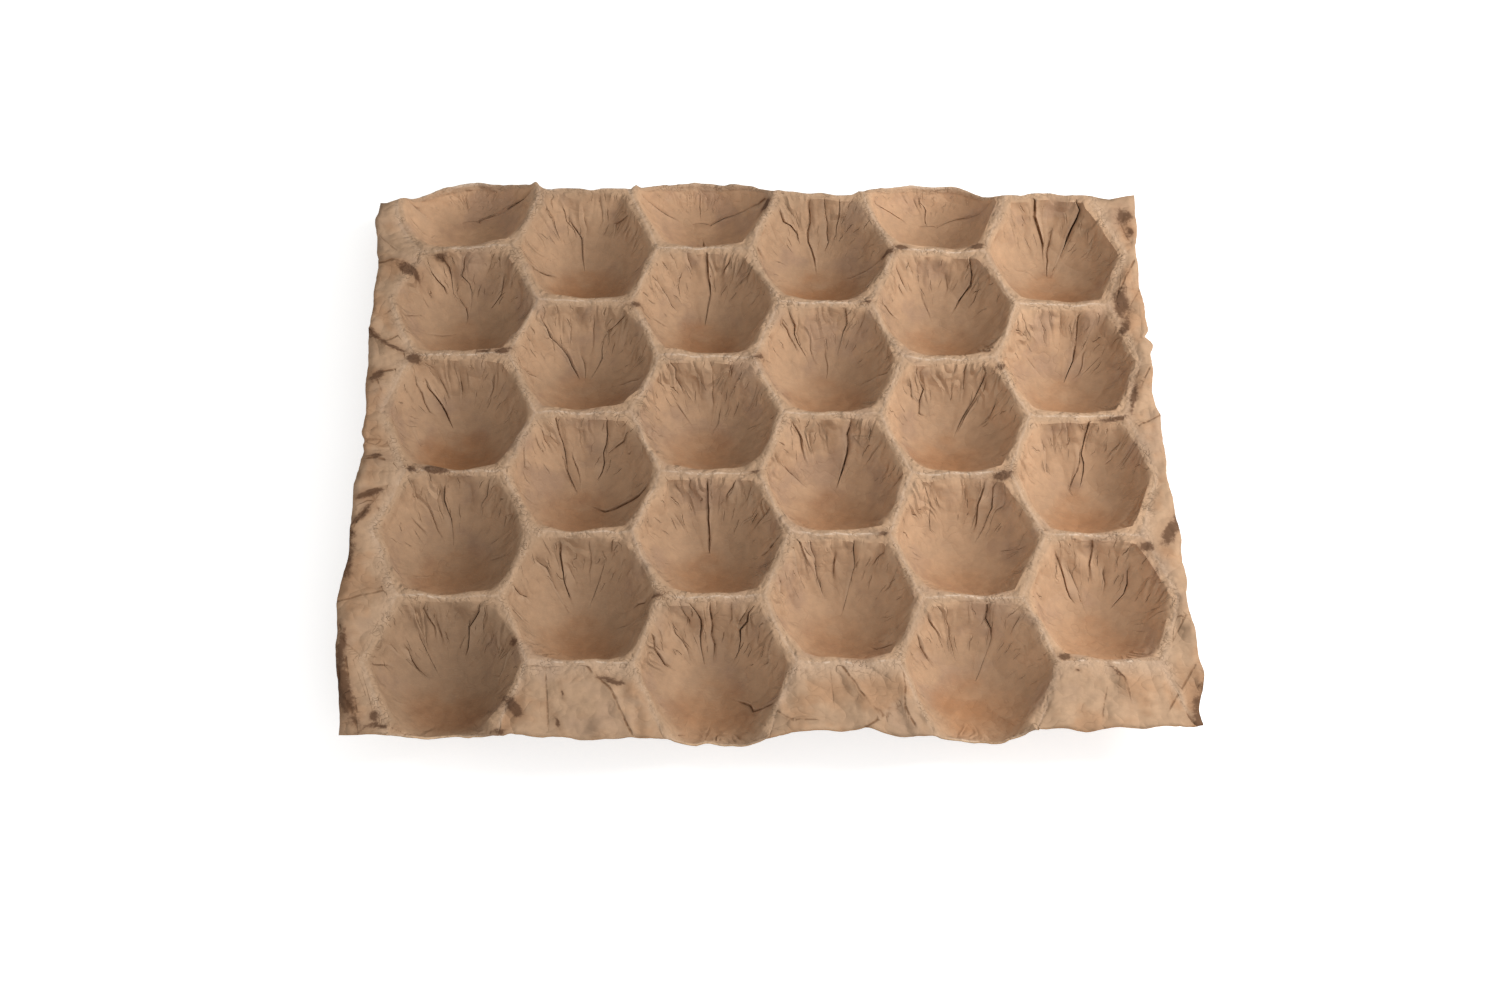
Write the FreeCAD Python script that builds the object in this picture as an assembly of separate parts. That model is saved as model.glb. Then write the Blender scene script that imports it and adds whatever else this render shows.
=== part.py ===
"""Honeycomb apple tray: one sheet of brown paper, pressed into rows of gathered cups.

The sheet is modelled as its upper face, a skin of flat facets whose folds are the ridges
between the cups and the gathers down their walls. The lower face is the same skin one
paper thickness below, and a strip along the cut edge closes the two into one solid.

X runs across the columns, Y from the front edge to the back edge, Z upwards. The origin
is under the middle of the sheet, on the surface that the cups stand on.
"""

import FreeCAD, Part
import math
import os

Vector = FreeCAD.Vector
NODE = "tray"

doc = FreeCAD.newDocument("apple_tray")

# ------------------------------------------------------- driving dimensions, mm and degrees
SIZES = [
    ("columns", 6, "columns of cups across the sheet"),
    ("cups", 4, "whole cups in each column"),
    ("cup_pitch", 86.0, "from cup to cup along a column"),
    ("column_pitch", 74.5, "from column to column"),
    ("rim_side", 57.8, "length of a cup's front and back rim, from corner to corner"),
    ("cup_depth", 33.0, "from the ridges down to the inside of a cup's bottom"),
    ("bottom_flat", 13.0, "diameter of the flat spot that a cup stands on"),
    ("rim_angle", 78.0, "steepness of the cup wall just under the ridge"),
    ("cut_angle", 55.0, "and where the sheet's edge cuts through the wall instead"),
    ("ridge_width", 6.5, "width of the rounded ridge between two cups"),
    ("ridge_round", 1.7, "drop from a ridge's middle line to its shoulders"),
    ("ridge_sag", 1.5, "how far a ridge hangs between its two corners"),
    ("gather_depth", 1.3, "height of the gathers down the cup walls"),
    ("crumple", 0.9, "unevenness of the ridges and the flat margins"),
    ("paper", 1.0, "thickness of the sheet"),
    ("left_margin", 9.5, "paper beyond the corners of the first column"),
    ("left_swell", 6.5, "how much further it reaches near the front"),
    ("right_margin", 5.5, "paper beyond the corners of the last column"),
    ("right_flare", 5.0, "how much further it reaches at the back"),
    ("edge_wave", 1.0, "waviness of the left and right edges"),
    ("front_lip", 2.5, "paper in front of the front rim line"),
    ("front_slant", 4.0, "how much shorter it is at the right than at the left"),
    ("front_cut", 3.8, "how much further back it is cut in front of a cup"),
    ("front_drop", 12.0, "how much lower the edge is there"),
    ("back_lip", 5.5, "paper behind the back rim line"),
    ("back_bulge", 19.0, "how much further it reaches behind a cut cup"),
    ("back_drop", 16.0, "how much lower the edge is there"),
    ("corner_drop", 9.0, "how far the back left corner hangs, and is cut back"),
]

sheet = doc.addObject("Spreadsheet::Sheet", "sizes")
for row, (name, value, meaning) in enumerate(SIZES, start=1):
    sheet.set("A%d" % row, name)
    sheet.set("B%d" % row, str(value))
    sheet.set("C%d" % row, meaning)
    sheet.setAlias("B%d" % row, name)
doc.recompute()
size = {name: float(sheet.get(name)) for name, value, meaning in SIZES}

COLUMNS = int(size["columns"])
CUPS = int(size["cups"])
PITCH = size["cup_pitch"]
HALF_SIDE = size["rim_side"] / 2
REACH = size["column_pitch"] - HALF_SIDE      # from a cup's axis to its left or right corner
BACK_LINE = (CUPS + 0.5) * PITCH / 2          # rim line of the back cups
FRONT_LINE = -BACK_LINE                       # rim line of the front cups
LEFT_LINE = -(COLUMNS - 1) / 2 * size["column_pitch"] - REACH
RIGHT_LINE = -LEFT_LINE

# How finely the skin is folded
RIM_FOLDS = 6             # folds along a cup's front or back rim
SLANT_FOLDS = 4           # folds along each of its four slanting rims
CUT_FOLDS = 8             # folds along the cut edge of a half cup
MARGIN_STEPS = 2          # strips in the flat panels along the front edge
WALL_SHARES = (0.64, 0.32)    # steepness of the wall at its rings of folds, as a share
GATHER_SHARES = (1.0, 0.3)    # how much of the gathers is left at each of those rings
SHOULDER_GATHER = 0.35    # and at the shoulder of the ridge
WALL_ROUNDNESS = (0.8, 1.0)   # from the rim's hexagon (0) to a round bowl (1), at those rings
SHOULDER_ROUNDNESS = 0.25     # and at the shoulder
TINY = 1e-6


# ------------------------------------------------------------------------ the pressed form
def column_axis(column):
    return (column - (COLUMNS - 1) / 2) * size["column_pitch"]


def is_shifted(column):
    """Every other column sits half a cup further forward and starts with a half cup."""
    return column % 2 == 0


def waver(x, y, kind):
    """A smooth unevenness between -1 and 1 that differs from place to place."""
    turn = 2 * math.pi / PITCH
    return (math.sin(turn * (1.9 * x + 0.7 * y) + 2.1 * kind)
            + math.sin(turn * (0.8 * x - 2.3 * y) + 1.3 * kind)
            + math.sin(turn * (3.1 * x + 2.9 * y) + 0.4 * kind)) / 3


def cut_arch(x, half_width):
    """How far x lies inside a cup that the edge cuts: 0 at its corners, 1 on its axis."""
    for column in range(COLUMNS):
        across = abs(x - column_axis(column)) / half_width
        if is_shifted(column) and across < 1:
            return 1 - across ** 2
    return 0.0


def openness(x, y):
    """0 where a rim point is on a ridge, up to 1 where the edge cuts the cup's wall."""
    if abs(y - BACK_LINE) < TINY:
        return cut_arch(x, REACH)
    if abs(y - FRONT_LINE) < TINY:
        return cut_arch(x, HALF_SIDE)
    return 0.0


def back_edge(x):
    """Reach behind the back rim line, and height, of the cut edge at x."""
    arch = cut_arch(x, REACH)
    return size["back_lip"] + size["back_bulge"] * arch, -size["back_drop"] * arch


def side_edge(side, y):
    """Reach beyond the left (-1) or right (1) column's corners of the cut edge at y."""
    if side < 0:
        from_swell = (y - FRONT_LINE - PITCH) / PITCH
        reach = size["left_margin"] + size["left_swell"] * math.exp(-(from_swell / 0.7) ** 2)
    else:
        from_back = (BACK_LINE - y) / PITCH
        reach = size["right_margin"] + size["right_flare"] * math.exp(-(from_back / 0.5) ** 2)
    return reach + size["edge_wave"] * waver(side * PITCH, y, 5)


def corner_hang(x, y):
    """How far the paper hangs near the free corner at the back left, from 0 to 1."""
    away = math.hypot(x - LEFT_LINE, (y - BACK_LINE) / 2) / HALF_SIDE
    return math.exp(-away ** 2)


def front_edge(x):
    """Reach in front of the front rim line, and height, of the cut edge at x."""
    lip = size["front_lip"] - size["front_slant"] * (x - LEFT_LINE) / (RIGHT_LINE - LEFT_LINE)
    arch = cut_arch(x, HALF_SIDE)
    return lip - size["front_cut"] * arch, -size["front_drop"] * arch


def settled(x, y, hang=0.0):
    """Where a point of the flat honeycomb pattern lies in the pressed sheet."""
    uneven = size["crumple"]
    place = Vector(x + uneven * waver(x, y, 1), y + uneven * waver(x, y, 2),
                   uneven * waver(x, y, 3) - size["ridge_sag"] * hang)
    place -= Vector(0, 1, 1) * size["corner_drop"] * corner_hang(x, y)
    if abs(y - BACK_LINE) < TINY:
        reach, height = back_edge(x)
        return place + Vector(0, reach, height)
    if abs(y - FRONT_LINE) < TINY:
        reach, height = front_edge(x)
        return place + Vector(0, -reach, height)
    return place


# ------------------------------------------------------------------------ the skin's facets
points = []
facets = []
stands = set()            # points of the flat spots that the tray stands on
known = {}


def point(place):
    """The number of the skin's point at this place, new or shared with a neighbour."""
    key = (round(place.x, 4), round(place.y, 4), round(place.z, 4))
    if key not in known:
        known[key] = len(points)
        points.append(place)
    return known[key]


def facet(*corners):
    """A flat facet, its corners given anticlockwise from above."""
    ring = [c for i, c in enumerate(corners) if c != corners[i - 1]]
    if len(ring) > 2:
        facets.append(ring)


def band(outer, inner):
    """Two facets between each pair of neighbours on two rings of as many points."""
    for i, (o, n) in enumerate(zip(outer, inner)):
        facet(outer[i - 1], o, n)
        facet(outer[i - 1], n, inner[i - 1])


def halving_band(outer, inner):
    """The facets between a ring and one with half as many points."""
    for i, n in enumerate(inner):
        before, middle, after = outer[2 * i - 2], outer[2 * i - 1], outer[2 * i]
        facet(before, middle, inner[i - 1])
        facet(middle, n, inner[i - 1])
        facet(middle, after, n)


def rim_points(corners):
    """The points along a cup's rim: each side is (start, end, folds, hangs or not)."""
    rim = []
    for (x0, y0), (x1, y1), folds, hangs in corners:
        for fold in range(folds):
            along = fold / folds
            hang = 4 * along * (1 - along) if hangs else 0.0
            rim.append(((x0 + (x1 - x0) * along, y0 + (y1 - y0) * along), hang))
    return rim


def rounded(radius, roundness):
    """A cup's reach in one direction, its corners drawn in towards a round bowl."""
    bowl = PITCH / 2 - size["ridge_width"] / 2
    return radius - max(0.0, radius - bowl) * roundness


def cup(x, y, sides):
    """One cup about the axis at x, y: ridge, shoulder, gathered wall and flat spot."""
    pattern = rim_points(sides)
    rim = [settled(px, py, hang) for (px, py), hang in pattern]
    half_ridge = size["ridge_width"] / 2
    bottom = -size["cup_depth"]
    shoulders = []
    for i, (place, ((px, py), hang)) in enumerate(zip(rim, pattern)):
        cut = openness(px, py)
        steepest = math.radians(size["rim_angle"] + (size["cut_angle"] - size["rim_angle"]) * cut)
        fall = size["ridge_round"] * (1 - cut) + half_ridge * math.tan(steepest) * cut
        out = Vector(place.x - x, place.y - y, 0)
        width = out.Length
        gather = (-1) ** i * (0.6 + 0.4 * waver(place.x, place.y, 4)) * size["gather_depth"]
        shoulders.append((out / width, width - half_ridge, place.z - fall, gather, steepest))

    rings = [[point(place) for place in rim]]
    rings.append([point(Vector(x, y, level) + out * (rounded(radius, SHOULDER_ROUNDNESS)
                                                     + SHOULDER_GATHER * gather))
                  for out, radius, level, gather, steepest in shoulders])
    for ring, (share, gathered) in enumerate(zip(WALL_SHARES, GATHER_SHARES)):
        places = []
        for out, radius, level, gather, steepest in shoulders:
            flat = math.asin(size["bottom_flat"] / PITCH * math.sin(steepest))
            slope = steepest * share
            fall = (math.cos(slope) - math.cos(steepest)) / (math.cos(flat) - math.cos(steepest))
            inset = math.sin(slope) / math.sin(steepest)
            places.append(Vector(x, y, level + (bottom - level) * fall)
                          + out * (rounded(radius, WALL_ROUNDNESS[ring]) * inset
                                   + gathered * gather))
        step = 2 if ring == len(WALL_SHARES) - 1 else 1
        rings.append([point(place) for place in places[::step]])
    flat_spot = [point(Vector(x, y, bottom) + shoulder[0] * size["bottom_flat"] / 2)
                 for shoulder in shoulders[::2]]
    stands.update(flat_spot)

    band(rings[0], rings[1])
    band(rings[1], rings[2])
    halving_band(rings[2], rings[3])
    band(rings[3], flat_spot)
    facet(*flat_spot)


def whole_cup(column, y):
    x = column_axis(column)
    right, left = (x + REACH, y), (x - REACH, y)
    back_right, back_left = (x + HALF_SIDE, y + PITCH / 2), (x - HALF_SIDE, y + PITCH / 2)
    front_left, front_right = (x - HALF_SIDE, y - PITCH / 2), (x + HALF_SIDE, y - PITCH / 2)
    cup(x, y, [
        (right, back_right, SLANT_FOLDS, True),
        (back_right, back_left, RIM_FOLDS, True),
        (back_left, left, SLANT_FOLDS, True),
        (left, front_left, SLANT_FOLDS, True),
        (front_left, front_right, RIM_FOLDS, True),
        (front_right, right, SLANT_FOLDS, True),
    ])


def half_cup(column):
    """The cup that the back edge cuts through: its far wall is a sloping flap."""
    x, y = column_axis(column), BACK_LINE
    right, left = (x + REACH, y), (x - REACH, y)
    front_left, front_right = (x - HALF_SIDE, y - PITCH / 2), (x + HALF_SIDE, y - PITCH / 2)
    cup(x, y, [
        (right, left, CUT_FOLDS, False),
        (left, front_left, SLANT_FOLDS, True),
        (front_left, front_right, RIM_FOLDS, True),
        (front_right, right, SLANT_FOLDS, True),
    ])


def panel(inner, outer, steps):
    """A flat margin between a line of points and the cut edge, inner to outer clockwise."""
    lines = [[point(a + (b - a) * step / steps) for a, b in zip(inner, outer)]
             for step in range(steps + 1)]
    for near, far in zip(lines, lines[1:]):
        for i in range(len(near) - 1):
            facet(near[i], near[i + 1], far[i + 1])
            facet(near[i], far[i + 1], far[i])


def side_margin(side):
    """The margin along the left (-1) or right (1) edge, beside the zigzag of its column."""
    column = 0 if side < 0 else COLUMNS - 1
    x = column_axis(column)
    near, far = x + side * HALF_SIDE, x + side * REACH
    zigzag = []
    for half in range(2 * CUPS + 1):
        start, end = (far, near) if (half % 2 == 0) == is_shifted(column) else (near, far)
        for fold in range(SLANT_FOLDS):
            along = fold / SLANT_FOLDS
            zigzag.append((start + (end - start) * along,
                           BACK_LINE - (half + along) * PITCH / 2, 4 * along * (1 - along)))
    zigzag.append((end, FRONT_LINE, 0.0))
    inner = [settled(px, py, hang) for px, py, hang in zigzag]
    outer = [settled(far + side * side_edge(side, py), py) for px, py, hang in zigzag]
    if side < 0:
        inner.reverse()
        outer.reverse()
    panel(inner, outer, 1)


def front_panel(column):
    """The flat paper in front of a column that ends half a cup short of the front edge."""
    x = column_axis(column)
    rim = FRONT_LINE + PITCH / 2
    sides = [
        ((x - REACH, FRONT_LINE), (x - HALF_SIDE, rim), SLANT_FOLDS, True),
        ((x - HALF_SIDE, rim), (x + HALF_SIDE, rim), RIM_FOLDS, True),
        ((x + HALF_SIDE, rim), (x + REACH, FRONT_LINE), SLANT_FOLDS, True),
    ]
    top = rim_points(sides) + [((x + REACH, FRONT_LINE), 0.0)]
    inner = [settled(px, py, hang) for (px, py), hang in top]
    outer = [settled(px, FRONT_LINE) for (px, py), hang in top]
    panel(inner[::-1], outer[::-1], MARGIN_STEPS)


for column in range(COLUMNS):
    first = BACK_LINE - (PITCH if is_shifted(column) else PITCH / 2)
    for number in range(CUPS):
        whole_cup(column, first - number * PITCH)
    if is_shifted(column):
        half_cup(column)
    else:
        front_panel(column)
side_margin(-1)
side_margin(1)


# ------------------------------------------------------------- from the skin to a solid sheet
def below_skin():
    """The points of the lower face, one paper thickness under those of the upper face."""
    normals = [Vector() for place in points]
    for ring in facets:
        places = [points[corner] for corner in ring]
        normal = (places[1] - places[0]).cross(places[2] - places[0]).normalize()
        for i, corner in enumerate(ring):
            back = places[i - 1] - places[i]
            ahead = places[(i + 1) % len(places)] - places[i]
            normals[corner] += normal * back.getAngle(ahead)
    down = [Vector(0, 0, 1) if i in stands else n.normalize() for i, n in enumerate(normals)]
    return [place - n * size["paper"] for place, n in zip(points, down)]


def cut_edges():
    """The skin's edges that only one facet has, each in that facet's direction."""
    used = {}
    for ring in facets:
        for i, corner in enumerate(ring):
            used[(ring[i - 1], corner)] = True
    return [(a, b) for a, b in used if (b, a) not in used]


def solid_sheet():
    upper = [Part.Vertex(place) for place in points]
    lower = [Part.Vertex(place) for place in below_skin()]
    vertices = upper + lower
    under = len(points)
    edges = {}

    def edge(a, b):
        key = (min(a, b), max(a, b))
        if key not in edges:
            edges[key] = Part.Edge(vertices[key[0]], vertices[key[1]])
        return edges[key]

    rings = [list(ring) for ring in facets]
    rings += [[corner + under for corner in reversed(ring)] for ring in facets]
    for a, b in cut_edges():
        rings.append([a, a + under, b + under])
        rings.append([a, b + under, b])
    faces = []
    for ring in rings:
        wire = Part.Wire([edge(ring[i - 1], corner) for i, corner in enumerate(ring)])
        face = Part.Face(wire)
        first, second, third = [vertices[corner].Point for corner in ring[:3]]
        if face.normalAt(0, 0).dot((second - first).cross(third - first)) < 0:
            face.reverse()
        faces.append(face)
    return Part.Solid(Part.Shell(faces))


shape = solid_sheet()
box = shape.BoundBox
tray = doc.addObject("Part::Feature", NODE)
tray.Label = NODE
tray.Shape = shape
tray.Placement = FreeCAD.Placement(Vector(-box.Center.x, -box.Center.y, -box.ZMin),
                                   FreeCAD.Rotation())
doc.recompute()

# ---------------------------------------------------------------------------- check and write
for item in doc.Objects:
    if "Invalid" in item.State or "Error" in item.State:
        raise RuntimeError("%s failed: %s" % (item.Name, item.State))
if tray.Shape.isNull() or not tray.Shape.isValid() or tray.Shape.Volume <= 0:
    raise RuntimeError("the sheet is not a sound solid")

os.makedirs("parts", exist_ok=True)
tray.Shape.exportStep("parts/%s.step" % NODE)
print("%s: %.1f x %.1f x %.1f mm, %d faces, %.0f cm3" % (
    NODE, box.XLength, box.YLength, box.ZLength, len(shape.Faces), shape.Volume / 1000))
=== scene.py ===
"""Honeycomb apple tray of pressed kraft paper: the crumpled sheet, its finish and a studio.

Each cup is pressed and creased from a copy of one paper blank. The cups are joined to each
other and to the flat margins, and the sheet is crumpled, finished and given its thickness.
All lengths are in metres, unless a comment says otherwise.
"""

import math
import random

import bpy
import numpy as np
from bpy.props import FloatProperty, FloatVectorProperty, PointerProperty
from mathutils import Matrix, Vector, noise


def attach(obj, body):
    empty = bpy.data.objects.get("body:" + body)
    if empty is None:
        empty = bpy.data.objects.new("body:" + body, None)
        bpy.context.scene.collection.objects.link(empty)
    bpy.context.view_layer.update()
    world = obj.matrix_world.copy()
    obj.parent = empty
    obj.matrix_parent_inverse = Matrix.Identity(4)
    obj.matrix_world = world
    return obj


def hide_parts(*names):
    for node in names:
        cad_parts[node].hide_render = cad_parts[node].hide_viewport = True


bl_info = {
    "name": "Kraft Paper Apple Tray",
    "version": (1, 0, 0),
    "blender": (4, 5, 0),
    "location": "3D View > Sidebar > Apple Tray",
    "description": "Presses a honeycomb apple tray out of kraft paper and lights it",
    "category": "Add Mesh",
}

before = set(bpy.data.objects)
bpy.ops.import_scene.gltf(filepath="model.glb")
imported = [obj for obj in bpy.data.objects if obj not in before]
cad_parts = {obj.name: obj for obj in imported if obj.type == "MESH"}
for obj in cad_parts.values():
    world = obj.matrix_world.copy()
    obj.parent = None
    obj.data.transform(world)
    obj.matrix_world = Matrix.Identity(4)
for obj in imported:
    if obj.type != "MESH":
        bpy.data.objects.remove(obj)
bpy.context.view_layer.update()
NODE = "tray"

# ---------------- the honeycomb's form
COLUMNS = 6
CUPS = 4
PITCH = 0.086                     # from cup to cup along a column
COLUMN_PITCH = 0.0745
HALF_SIDE = 0.0578 / 2            # half of a cup's front or back rim
REACH = COLUMN_PITCH - HALF_SIDE  # from a cup's axis to its left or right corner
CUP_DEPTH = 0.033
BOTTOM_FLAT = 0.013
RIM_ANGLE = 74.0                  # steepness of the wall under a ridge, in degrees
CUT_ANGLE = 55.0                  # and under the sheet's cut edge
HALF_RIDGE = 0.0065 / 2
BACK_RIDGE_LEFT = 0.4             # share of it that the back edge leaves
RIDGE_ROUND = 0.0017
RIDGE_SAG = 0.0015
UNEVEN = 0.0009
BACK_LINE = (CUPS + 0.5) * PITCH / 2
FRONT_LINE = -BACK_LINE
LEFT_LINE = -(COLUMNS - 1) / 2 * COLUMN_PITCH - REACH
RIGHT_LINE = -LEFT_LINE
LEFT_MARGIN, LEFT_SWELL = 0.0095, 0.0065
RIGHT_MARGIN, RIGHT_FLARE = 0.0055, 0.005
SWELL_SPREAD, FLARE_SPREAD = 0.7, 0.5   # in cups
EDGE_WAVE = 0.001
WAVERING = ((1.9, 0.7, 2.1), (0.8, -2.3, 1.3), (3.1, 2.9, 0.4))   # waves to a cup, and phases
FRONT_LIP, FRONT_SLANT, FRONT_CUT, FRONT_DROP = 0.0025, 0.004, 0.0038, 0.012
BACK_LIP, BACK_BULGE, BACK_DROP = 0.0055, 0.019, 0.016
CORNER_DROP = 0.009
SHOULDER_ROUNDNESS = 0.45         # from the rim's hexagon (0) to a round bowl (1)
ROUND_SHARES = (0.32, 0.64, 1.0)  # wall steepness, as shares of the steepest
ROUNDNESS = (1.0, 0.85, 0.45)     # and the bowl's roundness there
SHEET_OFFSET = Vector((0.0024727, -0.0113611, 0.034))   # honeycomb's middle, ridge level
TINY = 1e-8

# The folds of each cup's wall
FAR = 0.008                       # counts as far from any crease
CREASE_GAP = 0.0008               # from a crease's line to the vertices beside it
CREASE_JOG = 1.3                  # how far a crease strays from its path, in degrees
CREASE_END = 0.05                 # how soon it ends, as a share of the way down the wall
CREASE_DRAW = 0.2                 # and how far past its end folds are still drawn to it
CREASE_SIDES = (0.8, -0.3)        # the lip on one side and the dip on the other, as shares
CREASE_SWELL = (3, 1.5)           # where the paper swells beside it and how far, in folds
LEAST_GAP = 0.2                   # of the gap between two folds, kept where they are drawn
SMALL_GATHERS = 9
PLEAT_WAVES, PLEAT_FALL = 2.4, 1.2      # around a wall and down it
SMALL_PLEAT, SMALL_PLEAT_WAVES = 0.4, 2.3

# How much painted warm shade a cup's bottom gets, how gathered its paper is and how pale its
# walls are: drawn from a range in a whole cup, and set in the half cups; whole cups are paler
# towards the front right, painted light that stands for the lamp at the right
SHADE_WARMTH, HALF_SHADE_WARMTH = (0.6, 1.0), 0.3
GATHERED, HALF_GATHERED = (0.75, 1.15), 0.25
PALE, HALF_PALE = (-0.08, 0.08), 0.6
PAINTED_LIGHT_MIDDLE, PAINTED_LIGHT_TO_RIGHT = 0.05, 3.0    # on the middle line, and for each metre from it

# The crumple: its noises in waves to a metre, and what they lift, as shares of the unevenness
DENTS, KINKS, LOOSE_DENTS, FINE = 30, 75, 52, 130
DENT_HEIGHT = 1.3
WALL_DENTS, WALL_KINKS = 1.7, 0.3
LOOSE_KINKS, LOOSE_DENT_HEIGHT, LOOSE_WAVES = 0.9, 1.3, 2.4
RIDGE_LIFT, RIDGE_SHIFT, WALL_SPARED = 0.9, 0.7, 0.7
FLAT_PUSH = 2.2                   # how far loose paper bends at a crease
FLAT_PUSH_SPREAD = 3.0            # in mm
FLAT_LINE_END, FLAT_LINE_SPREAD = 1.5, 4.0    # in mm
# How dark the painted shade in a flat crease is drawn
FLAT_LINE_STRENGTH = 1.3          # in the colour, against the strength in the list
FLAT_UPWARD = 0.55                # creases stronger than this bend the paper up
STAIN_FAR = -3.0                  # counts as far from any stain
EDGE_ROUGHNESS = 160              # of the cut edge, in waves to a metre
NOISE_SEED = 7                    # for the fine crumple and the roughness of the cut edge

# ---------------- how finely it is made
RIM_FOLDS = 24                    # along a cup's front or back rim
SLANT_FOLDS = 18                  # along each of its four slanting rims
CUT_FOLDS = 60                    # along the cut edge of a half cup
FOLDS = 2 * RIM_FOLDS + 4 * SLANT_FOLDS
RIDGE_STEPS = (0.35, 0.7, 1.0)    # rings across half a ridge
WALL_STEPS = (0.92, 0.82, 0.72, 0.615, 0.51, 0.41, 0.31, 0.205)
RINGS = 1 + len(RIDGE_STEPS) + len(WALL_STEPS) + 1
MARGIN_STEPS = 5
PANEL_STEPS = 14
SAME_PLACE = 0.00002              # vertices nearer than this are joined
SMOOTH_ANGLE = 50                 # faces that meet at less are smooth, in degrees
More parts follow.
